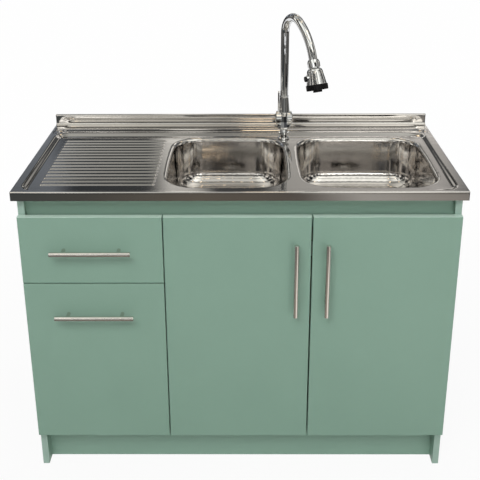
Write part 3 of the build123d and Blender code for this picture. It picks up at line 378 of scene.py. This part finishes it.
smoother = makeSmoother("smoothGentleEdges")
slotOf = {row["node"]: row["material_slot"] for row in frame["record"]["subparts"]}
for name, piece in nodes.items():
    finish = ownFinish.get(name, finishes[slotOf[name]])
    if not piece.material_slots:
        piece.data.materials.append(finish)
    for slot in piece.material_slots:
        slot.material = finish
    if slotOf[name] == "front_board":
        rounding = piece.modifiers.new("edges", "BEVEL")
        rounding.width = softEdges["boardEdge"]["width"]
        rounding.segments = softEdges["boardEdge"]["segments"]
        rounding.angle_limit = math.radians(softEdges["boardEdge"]["degrees"])
    smooth = piece.modifiers.new("smooth", "NODES")
    smooth.node_group = smoother
    weigh = piece.modifiers.new("weigh", "WEIGHTED_NORMAL")
    weigh.keep_sharp = True
print("carried-over pieces finished")

pressedSheet = {
    "halfWidth": 0.600, "front": -0.28275, "back": 0.31725, "foot": 0.855, "top": 0.880, "crest": 0.913,
    "lip": 0.003, "bend": 0.005, "endRound": 0.0015, "gauge": 0.0009,
    "upstand": 0.009, "hemBack": 0.020,
    # the recess slopes from just outside its line to well inside it
    "recess": {"halfX": 0.578, "front": -0.26875, "back": 0.21625, "depth": 0.008, "corner": 0.038,
               "out": 0.0024, "in": 0.0153},
    "roll": {"mid": 0.24525, "half": 0.012, "reach": 0.570, "height": 0.003},
    "groove": {"mid": 0.28025, "half": 0.023, "reach": 0.572, "height": -0.0034},
    "ridge": {"count": 16, "first": -0.21075, "pitch": 0.0246, "half": 0.0065, "height": 0.0032,
              "from": -0.540, "to": -0.228},
    # the steel gathers in the back corners, where the ledge meets the ends
    "crumple": {"at": (0.573, 0.236), "spread": (0.015, 0.022), "grain": 0.011, "height": 0.0034,
                "layer": 0.3, "finer": 2.1, "finerShare": 0.5,  # which slice of noise, and its finer folds
                "fade": 0.02},
    "plain": {"x": (-0.2215, 0.5612), "y": (-0.2450, 0.19985)},  # level floor round the bowls
    "tapHole": {"x": 0.135, "y": 0.18425, "radius": 0.012, "corners": 40},
    # mesh steps from front to back, and across
    "rows": {"apron": 0.0055, "rim": 0.003, "slope": 0.0012, "floor": 0.0018, "ledge": 0.0013,
             "upstand": 0.006},
    "columns": {"end": 0.0016, "ridgeEnd": 0.0011, "plain": 0.03, "beside": 0.004},
    "ridgeEndReach": (0.009, 0.001),  # how far the fine columns go inside and past a ridge's end
}
hair = 1e-6  # places nearer than this are the same


def softStep(share):
    share = min(max(share, 0.0), 1.0)
    return share * share * (3 - 2 * share)


def swell(away):
    # height share of a rounded bar or dent, away from its middle line
    return (1 - away * away) ** 1.5 if away < 1 else 0.0


def ledgeBar(x, y, sizes):
    # rounded bar along the worktop, with round ends
    overX = max(abs(x) - (sizes["reach"] - sizes["half"]), 0.0)
    return sizes["height"] * swell(math.hypot(overX, y - sizes["mid"]) / sizes["half"])


def sheetRise(x, y):
    # how far the press moves the sheet up or down from its flat top
    sheet = pressedSheet
    recess = sheet["recess"]
    midY = (recess["front"] + recess["back"]) / 2
    overX = abs(x) - (recess["halfX"] - recess["corner"])
    overY = abs(y - midY) - ((recess["back"] - recess["front"]) / 2 - recess["corner"])
    outside = math.hypot(max(overX, 0), max(overY, 0)) + min(max(overX, overY), 0.0) - recess["corner"]
    rise = -recess["depth"] * softStep((recess["out"] - outside) / (recess["out"] + recess["in"]))
    rise += ledgeBar(x, y, sheet["roll"]) + ledgeBar(x, y, sheet["groove"])
    ridge = sheet["ridge"]
    number = round((y - ridge["first"]) / ridge["pitch"])
    if 0 <= number < ridge["count"]:
        middle = (ridge["from"] + ridge["to"]) / 2
        reach = (ridge["to"] - ridge["from"]) / 2 - ridge["half"]
        away = math.hypot(max(abs(x - middle) - reach, 0), y - ridge["first"] - number * ridge["pitch"])
        rise += ridge["height"] * swell(away / ridge["half"])
    crumple = sheet["crumple"]
    nearX = (abs(x) - crumple["at"][0]) / crumple["spread"][0]
    nearY = (y - crumple["at"][1]) / crumple["spread"][1]
    near = math.exp(-nearX * nearX - nearY * nearY)
    if near > crumple["fade"]:
        spot = Vector((x, y, crumple["layer"])) / crumple["grain"]
        folds = noise.noise(spot) + crumple["finerShare"] * noise.noise(spot * crumple["finer"])
        rise += near * crumple["height"] * folds
    return rise


def spread(start, stops):
    # places along a line, evenly spaced up to each stop, which gives its end and about the step
    places = [start]
    for end, step in stops:
        last = places[-1]
        count = max(1, round((end - last) / step))
        places += [last + (end - last) * k / count for k in range(1, count + 1)]
    return places


def quarterTurn(parts):
    # sine and cosine at each part of a quarter turn
    turns = [math.radians(90 * k / parts) for k in range(1, parts + 1)]
    return [(math.sin(turn), math.cos(turn)) for turn in turns]


def makeSheetSection():
    # the bent sheet's line from the apron's foot over the top to the hem behind the upstand
    sheet, rows, recess = pressedSheet, pressedSheet["rows"], pressedSheet["recess"]
    front, back, top, crest = sheet["front"], sheet["back"], sheet["top"], sheet["crest"]
    lip, bend = sheet["lip"], sheet["bend"]
    face = back - sheet["upstand"]
    lastFlat = face - bend
    plainFrom, plainTo = sheet["plain"]["y"]
    line = [(front, z) for z in spread(sheet["foot"], [(top - lip, rows["apron"])])]
    line += [(front + lip - lip * cos, top - lip + lip * sin) for sin, cos in quarterTurn(5)]
    flats = spread(front + lip, [(recess["front"] - recess["out"], rows["rim"]), (plainFrom, rows["slope"]),
                                 (plainTo, rows["floor"]), (lastFlat, rows["ledge"])])
    line += [(y, top) for y in flats[1:]]
    line += [(lastFlat + bend * sin, top + bend - bend * cos) for sin, cos in quarterTurn(6)]
    line += [(face, z) for z in spread(top + bend, [(crest - lip, rows["upstand"])])[1:]]
    line += [(face + lip - lip * cos, crest - lip + lip * sin) for sin, cos in quarterTurn(5)]
    line += [(back - lip + lip * sin, crest - lip + lip * cos) for sin, cos in [(0.0, 1.0)] + quarterTurn(5)]
    line.append((back, crest - sheet["hemBack"]))
    return line


def makeSheetColumns():
    # places across the sheet, each with how far its rounded end sinks in
    sheet, steps, ridge = pressedSheet, pressedSheet["columns"], pressedSheet["ridge"]
    inside, past = sheet["ridgeEndReach"]
    endRound = sheet["endRound"]
    inner = sheet["halfWidth"] - endRound
    plainFrom, plainTo = sheet["plain"]["x"]
    columns = spread(-inner, [(ridge["from"], steps["end"]), (ridge["from"] + inside, steps["ridgeEnd"]),
                              (ridge["to"] - inside, steps["plain"]), (ridge["to"] + past, steps["ridgeEnd"]),
                              (plainFrom, steps["beside"]), (plainTo, steps["plain"]), (inner, steps["end"])])
    ends = [(inner + endRound * sin, endRound * (1 - cos)) for sin, cos in quarterTurn(3)]
    return [(-x, sink) for x, sink in reversed(ends)] + [(x, 0.0) for x in columns] + ends


def outlineOf(name):
    # the bowl's own outer line, in order round its mouth
    points = [v.co for v in nodes[name].data.vertices]
    top = max(p.z for p in points)
    rim = {(round(p.x, 6), round(p.y, 6)) for p in points if p.z > top - 10 * hair}
    midX = sum(p[0] for p in rim) / len(rim)
    midY = sum(p[1] for p in rim) / len(rim)
    return sorted(rim, key=lambda p: math.atan2(p[1] - midY, p[0] - midX))


def within(point, polygon):
    # a line from the point to one side crosses the edge an odd number of times
    inside = False
    for a, b in zip(polygon, polygon[1:] + polygon[:1]):
        spans = (a.y > point.y) != (b.y > point.y)
        if spans and point.x < a.x + (b.x - a.x) * (point.y - a.y) / (b.y - a.y):
            inside = not inside
    return inside


def onPlain(vert):
    (x0, x1), (y0, y1) = pressedSheet["plain"]["x"], pressedSheet["plain"]["y"]
    return x0 - hair < vert.co.x < x1 + hair and y0 - hair < vert.co.y < y1 + hair


def makeSheetGrid(build):
    # rows of corners over the whole sheet, with faces everywhere but on the plain floor
    section = makeSheetSection()
    places = makeSheetColumns()
    grid = []
    for k, (y, z) in enumerate(section):
        before, after = section[max(k - 1, 0)], section[min(k + 1, len(section) - 1)]
        alongY, alongZ = after[0] - before[0], after[1] - before[1]
        size = math.hypot(alongY, alongZ)
        normalY, normalZ = -alongZ / size, alongY / size
        row = []
        for x, sink in places:
            level = z - normalZ * sink
            if abs(z - pressedSheet["top"]) < hair:
                level += sheetRise(x, y)
            row.append(build.verts.new((x, y - normalY * sink, level)))
        grid.append(row)
    for lower, upper in zip(grid, grid[1:]):
        for k in range(len(places) - 1):
            corners = (lower[k], lower[k + 1], upper[k + 1], upper[k])
            if not all(onPlain(corner) for corner in corners):
                build.faces.new(corners)
    return grid


def plainBorder(edge):
    # corners round the plain floor, in order: front, right, back and left
    (_, x1), (y0, y1) = pressedSheet["plain"]["x"], pressedSheet["plain"]["y"]
    sides = {"front": [], "right": [], "back": [], "left": []}
    for v in edge:
        if abs(v.co.y - y0) < hair:
            sides["front"].append(v)
        elif abs(v.co.y - y1) < hair:
            sides["back"].append(v)
        elif abs(v.co.x - x1) < hair:
            sides["right"].append(v)
        else:
            sides["left"].append(v)
    return (sorted(sides["front"], key=lambda v: v.co.x) + sorted(sides["right"], key=lambda v: v.co.y)
            + sorted(sides["back"], key=lambda v: -v.co.x) + sorted(sides["left"], key=lambda v: -v.co.y))


def fillPlainFloor(build, border):
    # fills in round the bowls and the tap's hole
    sheet, tap = pressedSheet, pressedSheet["tapHole"]
    turns = [math.radians(360 * k / tap["corners"]) for k in range(tap["corners"])]
    tapLine = [(tap["x"] + tap["radius"] * math.cos(turn), tap["y"] + tap["radius"] * math.sin(turn))
               for turn in turns]
    floorZ = sheet["top"] - sheet["recess"]["depth"]
    verts = list(border)
    loops = [list(range(len(border)))]
    for hole in (outlineOf("left_bowl"), outlineOf("right_bowl"), tapLine):
        loops.append(list(range(len(verts), len(verts) + len(hole))))
        verts += [build.verts.new((x, y, floorZ)) for x, y in hole]
    flat = [Vector((v.co.x, v.co.y)) for v in verts]
    fences = [(loop[k - 1], loop[k]) for loop in loops for k in range(len(loop))]
    points, _, faces, sources, _, _ = geometry.delaunay_2d_cdt(flat, fences, [], 0, hair / 10)
    outer, *holes = [[flat[n] for n in loop] for loop in loops]
    for face in faces:
        middle = sum((points[n] for n in face), Vector((0, 0))) / len(face)
        if within(middle, outer) and not any(within(middle, hole) for hole in holes):
            corners = [verts[sources[n][0]] for n in face]
            if len(set(corners)) == 3:
                build.faces.new(corners)


def makePressedSheet():
    # the worktop's sheet with the soft forms that the press gives it
    sheet = pressedSheet
    build = bmesh.new()
    grid = makeSheetGrid(build)
    edge = [v for row in grid for v in row if onPlain(v) and v.link_faces]
    for v in [v for row in grid for v in row if not v.link_faces]:
        build.verts.remove(v)
    fillPlainFloor(build, plainBorder(edge))
    for column in (0, -1):  # closed ends under the rounded edge
        ring = [row[column] for row in grid]
        foot = build.verts.new((ring[0].co.x, sheet["back"], sheet["foot"]))
        build.faces.new(ring + [foot])
    bmesh.ops.recalc_face_normals(build, faces=build.faces)
    if sum(f.normal.z * f.calc_area() for f in build.faces) < 0:
        bmesh.ops.reverse_faces(build, faces=build.faces)
    mesh = bpy.data.meshes.new("pressedSheet")
    build.to_mesh(mesh)
    build.free()
    piece = bpy.data.objects.new("pressedSheet", mesh)
    scene.collection.objects.link(piece)
    mesh.materials.append(finishes["stainless_sheet"])
    thick = piece.modifiers.new("gauge", "SOLIDIFY")
    thick.thickness = sheet["gauge"]
    thick.offset = -1.0  # the steel lies under the modelled face
    smooth = piece.modifiers.new("smooth", "NODES")
    smooth.node_group = smoother
    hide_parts("sink_top")
    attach(piece, "cabinet")


makePressedSheet()
print("pressed sheet made")

studio = {
    "floor": "#DEDEDC",
    "floorSize": 60.0,
    "floorGlow": (0.93, 0.99),  # share that shows as plain white, by the unit and far off
    "floorGlowReach": (0.8, 2.2),
    "white": "#FFFFFF",
    "ambient": "#F4F4F4",
    "ambientStrength": 0.40,
    "lamps": {
        "key": {"at": (-0.9, -3.2, 3.9), "aim": (0, 0, 0.4), "size": (2.0, 1.6), "power": 110},
        "fill": {"at": (1.6, -5.0, 1.8), "aim": (0, 0, 0.7), "size": (2.4, 2.0), "power": 58},
        "top": {"at": (0.3, 0.9, 3.8), "aim": (0, 0, 0.9), "size": (2.2, 1.0), "power": 30},
    },
}


def makeLamp(name, sizes):
    lamp = bpy.data.lights.new(name + "Softbox", "AREA")
    lamp.shape = "RECTANGLE"
    lamp.size, lamp.size_y = sizes["size"]
    lamp.energy = sizes["power"]
    holder = bpy.data.objects.new(name + "Softbox", lamp)
    scene.collection.objects.link(holder)
    holder.location = sizes["at"]
    aim = Vector(sizes["aim"]) - Vector(sizes["at"])
    holder.rotation_euler = aim.to_track_quat("-Z", "Y").to_euler()
    holder.visible_glossy = False  # the metal shows the room's own lamps


for name, sizes in studio["lamps"].items():
    makeLamp(name, sizes)

# grey walls, a front floor and a ceiling with lamps stand round the unit, seen only in its metal.
# Each has the axis it faces and where it stands, its span along the other two axes, u and v,
# its tones along u and how bright they are along v, both by share of the span.
room = {
    "floorInFront": {
        "flat": "z", "at": 0.004, "u": (-4.0, 4.0), "v": (-5.0, -0.35),
        "tones": ((0.0, "#34393B"), (0.30, "#525B5E"), (0.40, "#65635E"), (0.47, "#7F786E"),
                  (0.54, "#736D67"), (0.58, "#D2CFC9"), (0.64, "#B7B2AB"), (0.69, "#8A8782"),
                  (0.74, "#38383A"), (1.0, "#2A2A2C")),
        "rise": ((0.0, 0.5), (0.50, 0.68), (0.60, 0.75), (0.70, 0.8), (0.76, 2.0), (0.87, 2.2),
                 (0.92, 0.8), (1.0, 0.5)),
    },
    "wallBehind": {
        "flat": "y", "at": 3.4, "u": (-4.0, 4.0), "v": (0.0, 4.6),
        "tones": ((0.0, "#4A4D50"), (0.28, "#70757B"), (0.325, "#7C8188"), (0.345, "#3E4144"),
                  (0.415, "#444647"), (0.435, "#E2E0DA"), (0.455, "#D6D4CE"), (0.475, "#4C4D4E"),
                  (0.518, "#4C4D4E"), (0.54, "#B6B4AF"), (0.60, "#C6C3BE"), (0.68, "#BEBBB7"),
                  (0.72, "#6A6C6E"), (1.0, "#4A4C4E")),
        "rise": ((0.0, 0.05), (0.22, 0.08), (0.315, 0.15), (0.365, 1.9), (0.402, 2.15), (0.425, 0.95),
                 (0.51, 0.95), (0.54, 0.2), (0.57, 0.2), (0.60, 3.0), (0.70, 3.4), (0.73, 0.2),
                 (0.81, 0.2), (0.84, 1.8), (0.92, 1.8)),
    },
    "wallLeft": {
        "flat": "x", "at": -3.8, "u": (-5.4, 3.4), "v": (0.0, 4.6),
        "tones": ((0.0, "#2A2B2D"), (0.14, "#D8D6D0"), (0.20, "#343537"), (0.30, "#343537"),
                  (0.35, "#E2DFD8"), (0.41, "#D8D4CC"), (0.44, "#2A2B2D"), (0.52, "#2A2B2D"),
                  (0.56, "#C2BFB8"), (0.61, "#303133"), (0.68, "#2A2B2D"), (0.72, "#F2EEE4"),
                  (0.78, "#E8E4DA"), (0.81, "#2A2B2D"), (0.91, "#8C8A86"), (1.0, "#2A2B2D")),
        "rise": ((0.0, 0.3), (0.3, 0.9), (0.44, 1.6), (0.66, 1.6), (0.70, 0.2), (0.80, 0.2), (0.84, 1.4),
                 (1.0, 0.4)),
    },
    "wallRight": {
        "flat": "x", "at": 3.8, "u": (-5.4, 3.4), "v": (0.0, 4.6),
        "tones": ((0.0, "#2A2B2D"), (0.12, "#E0DDD6"), (0.18, "#303133"), (0.28, "#303133"),
                  (0.33, "#DCD9D2"), (0.39, "#E6E3DC"), (0.42, "#2A2B2D"), (0.53, "#2A2B2D"),
                  (0.57, "#CAC7C0"), (0.62, "#303133"), (0.69, "#2A2B2D"), (0.74, "#F4F0E6"),
                  (0.80, "#E6E2D8"), (0.83, "#2A2B2D"), (0.92, "#8C8A86"), (1.0, "#2A2B2D")),
        "rise": ((0.0, 0.3), (0.3, 0.9), (0.44, 1.6), (0.66, 1.6), (0.70, 0.2), (0.80, 0.2), (0.84, 1.4),
                 (1.0, 0.4)),
    },
    "wallInFront": {
        "flat": "y", "at": -5.6, "u": (-4.0, 4.0), "v": (0.0, 4.6),
        "tones": ((0.0, "#4A4B4D"), (0.22, "#8C8C89"), (0.30, "#F0F0EC"), (0.36, "#A0A09C"),
                  (0.44, "#B4B4B0"), (0.52, "#9C9C98"), (0.57, "#C0C0BC"), (0.61, "#FFFFFA"),
                  (0.70, "#FFFDF6"), (0.77, "#84847F"), (0.84, "#E8E8E4"), (0.90, "#4A4B4D"),
                  (1.0, "#3A3B3D")),
        "rise": ((0.0, 0.3), (0.27, 0.4), (0.30, 1.6), (0.37, 1.6), (0.40, 0.5), (0.44, 1.3), (0.54, 3.4),
                 (0.64, 3.8), (0.70, 0.2), (0.80, 0.15), (0.84, 1.0), (0.92, 0.2), (1.0, 0.2)),
    },
    "ceiling": {
        "flat": "z", "at": 4.6, "u": (-4.0, 4.0), "v": (-5.6, 3.4),
        "tones": ((0.0, "#B4B4AF"), (0.28, "#D6D6D0"), (0.38, "#C2C2BC"), (0.43, "#B8B8B2"),
                  (0.47, "#A4A49F"), (0.53, "#A4A49F"), (0.57, "#C6C6C0"), (0.68, "#F0F0EA"),
                  (1.0, "#B4B4AF")),
        "rise": ((0.0, 0.6), (0.10, 0.1), (0.14, 2.0), (0.28, 2.2), (0.34, 1.1), (0.40, 1.2), (0.44, 2.0),
                 (0.58, 2.2), (0.63, 0.12), (0.68, 0.9), (0.84, 1.0), (0.88, 0.15), (1.0, 0.15)),
        "lamps": {"pitch": (2.1, 2.3), "size": (0.34, 0.40), "code": "#FFE6C2", "strength": 3.2},
    },
}


def makeRoomSide(name, sizes):
    (u0, u1), (v0, v1), at = sizes["u"], sizes["v"], sizes["at"]
    flat = "xyz".index(sizes["flat"])
    corners = []
    for u, v in ((u0, v0), (u1, v0), (u1, v1), (u0, v1)):
        corner = [u, v]
        corner.insert(flat, at)
        corners.append(corner)
    mesh = bpy.data.meshes.new(name)
    mesh.from_pydata(corners, [], [(0, 1, 2, 3)])
    side = bpy.data.objects.new(name, mesh)
    scene.collection.objects.link(side)
    material = bpy.data.materials.new(name)
    material.use_nodes = True
    tree = material.node_tree
    tree.nodes.clear()
    place = addNode(tree, "ShaderNodeTexCoord")
    split = addNode(tree, "ShaderNodeSeparateXYZ", links={0: place.outputs["Object"]})
    along = split.outputs[1 if flat == 0 else 0]
    upward = split.outputs[1 if flat == 2 else 2]
    ramps = []
    for value, low, high, stops in ((along, u0, u1, sizes["tones"]), (upward, v0, v1, sizes["rise"])):
        share = addNode(tree, "ShaderNodeMapRange", {"From Min": low, "From Max": high}, {"Value": value})
        ramp = addNode(tree, "ShaderNodeValToRGB", links={0: share.outputs[0]})
        for number, (position, tone) in enumerate(stops):
            elements = ramp.color_ramp.elements
            stop = elements[number] if number < 2 else elements.new(position)
            stop.position = position
            stop.color = fromHex(tone) if isinstance(tone, str) else (tone, tone, tone, 1)
        ramps.append(ramp.outputs[0])
    shade = addNode(tree, "ShaderNodeVectorMath", {"operation": "MULTIPLY"}, {0: ramps[0], 1: ramps[1]})
    light = shade.outputs[0]
    if "lamps" in sizes:
        grid = sizes["lamps"]
        lit = []
        for axis, pitch, size in zip((along, upward), grid["pitch"], grid["size"]):
            steps = addNode(tree, "ShaderNodeMath", {"operation": "DIVIDE", 1: pitch}, {0: axis})
            cell = addNode(tree, "ShaderNodeMath", {"operation": "FRACT"}, {0: steps.outputs[0]})
            lit.append(addNode(tree, "ShaderNodeMath", {"operation": "LESS_THAN", 1: size / pitch},
                               {0: cell.outputs[0]}))
        on = addNode(tree, "ShaderNodeMath", {"operation": "MULTIPLY"},
                     {0: lit[0].outputs[0], 1: lit[1].outputs[0]})
        colour = Vector(fromHex(grid["code"])[:3]) * grid["strength"]
        glare = addNode(tree, "ShaderNodeVectorMath", {"operation": "SCALE", 0: colour},
                        {"Scale": on.outputs[0]})
        both = addNode(tree, "ShaderNodeVectorMath", {"operation": "ADD"}, {0: light, 1: glare.outputs[0]})
        light = both.outputs[0]
    glow = addNode(tree, "ShaderNodeEmission", links={"Color": light})
    addNode(tree, "ShaderNodeOutputMaterial", links={"Surface": glow.outputs[0]})
    mesh.materials.append(material)
    side.visible_camera = False
    side.visible_diffuse = False
    side.visible_shadow = False


for name, sizes in room.items():
    makeRoomSide(name, sizes)


def seenDirectly(tree):
    # one where a camera, glossy or transmission ray meets the background
    ray = addNode(tree, "ShaderNodeLightPath")
    both = addNode(tree, "ShaderNodeMath", {"operation": "ADD"},
                   {0: ray.outputs["Is Camera Ray"], 1: ray.outputs["Is Glossy Ray"]})
    return addNode(tree, "ShaderNodeMath", {"operation": "ADD", "use_clamp": True},
                   {0: both.outputs[0], 1: ray.outputs["Is Transmission Ray"]}).outputs[0]


def makeFloor():
    # matt pale paint, with most of what the camera sees of it lifted to white
    mesh = bpy.data.meshes.new("studioFloor")
    half = studio["floorSize"] / 2
    corners = [(-half, -half, 0), (half, -half, 0), (half, half, 0), (-half, half, 0)]
    mesh.from_pydata(corners, [], [(0, 1, 2, 3)])
    floor = bpy.data.objects.new("studioFloor", mesh)
    scene.collection.objects.link(floor)
    material = bpy.data.materials.new("paleStudioFloor")
    material.use_nodes = True
    tree = material.node_tree
    tree.nodes.clear()
    paint = addNode(tree, "ShaderNodeBsdfDiffuse", {"Color": fromHex(studio["floor"])})
    glow = addNode(tree, "ShaderNodeEmission", {"Color": fromHex(studio["white"]), "Strength": 1.0})
    place = addNode(tree, "ShaderNodeTexCoord")
    far = addNode(tree, "ShaderNodeVectorMath", {"operation": "LENGTH"}, {0: place.outputs["Object"]})
    (near, away), (nearReach, farReach) = studio["floorGlow"], studio["floorGlowReach"]
    glowShare = addNode(tree, "ShaderNodeMapRange",
                        {"From Min": nearReach, "From Max": farReach, "To Min": near, "To Max": away},
                        {"Value": far.outputs["Value"]})
    share = addNode(tree, "ShaderNodeMath", {"operation": "MULTIPLY"},
                    {0: seenDirectly(tree), 1: glowShare.outputs[0]})
    both = addNode(tree, "ShaderNodeMixShader",
                   links={0: share.outputs[0], 1: paint.outputs[0], 2: glow.outputs[0]})
    addNode(tree, "ShaderNodeOutputMaterial", links={"Surface": both.outputs[0]})
    mesh.materials.append(material)


def makeWorld():
    # soft light from all round, which shows as plain white behind the unit
    world = bpy.data.worlds.new("studioRoom")
    scene.world = world
    world.use_nodes = True
    tree = world.node_tree
    tree.nodes.clear()
    ambient = addNode(tree, "ShaderNodeBackground",
                      {"Color": fromHex(studio["ambient"]), "Strength": studio["ambientStrength"]})
    white = addNode(tree, "ShaderNodeBackground", {"Color": fromHex(studio["white"]), "Strength": 1.0})
    both = addNode(tree, "ShaderNodeMixShader",
                   links={0: seenDirectly(tree), 1: ambient.outputs[0], 2: white.outputs[0]})
    addNode(tree, "ShaderNodeOutputWorld", links={"Surface": both.outputs[0]})


makeFloor()
makeWorld()
scene.view_settings.view_transform = "Standard"
print("studio and room made")

camera = {
    "at": (0.01522, -2.31867, 1.70122),
    "pitch": 0.35378,
    "yaw": -0.00661,
    "roll": -0.0038,
    "lens": 63.306,
    "sensor": 36.0,
    "shiftY": -0.15210,
}


def makeCamera():
    data = bpy.data.cameras.new("photoCamera")
    data.sensor_width = camera["sensor"]
    data.lens = camera["lens"]
    data.shift_y = camera["shiftY"]
    holder = bpy.data.objects.new("photoCamera", data)
    scene.collection.objects.link(holder)
    pitch, yaw, roll = camera["pitch"], camera["yaw"], camera["roll"]
    forward = Vector((math.sin(yaw) * math.cos(pitch), math.cos(yaw) * math.cos(pitch), -math.sin(pitch)))
    right = Vector((math.cos(yaw), -math.sin(yaw), 0))
    up = right.cross(forward)
    turnedRight = math.cos(roll) * right + math.sin(roll) * up
    turnedUp = -math.sin(roll) * right + math.cos(roll) * up
    turn = Matrix((turnedRight, turnedUp, -forward)).transposed().to_4x4()
    holder.matrix_world = Matrix.Translation(Vector(camera["at"])) @ turn
    scene.camera = holder


makeCamera()
print("camera ready")
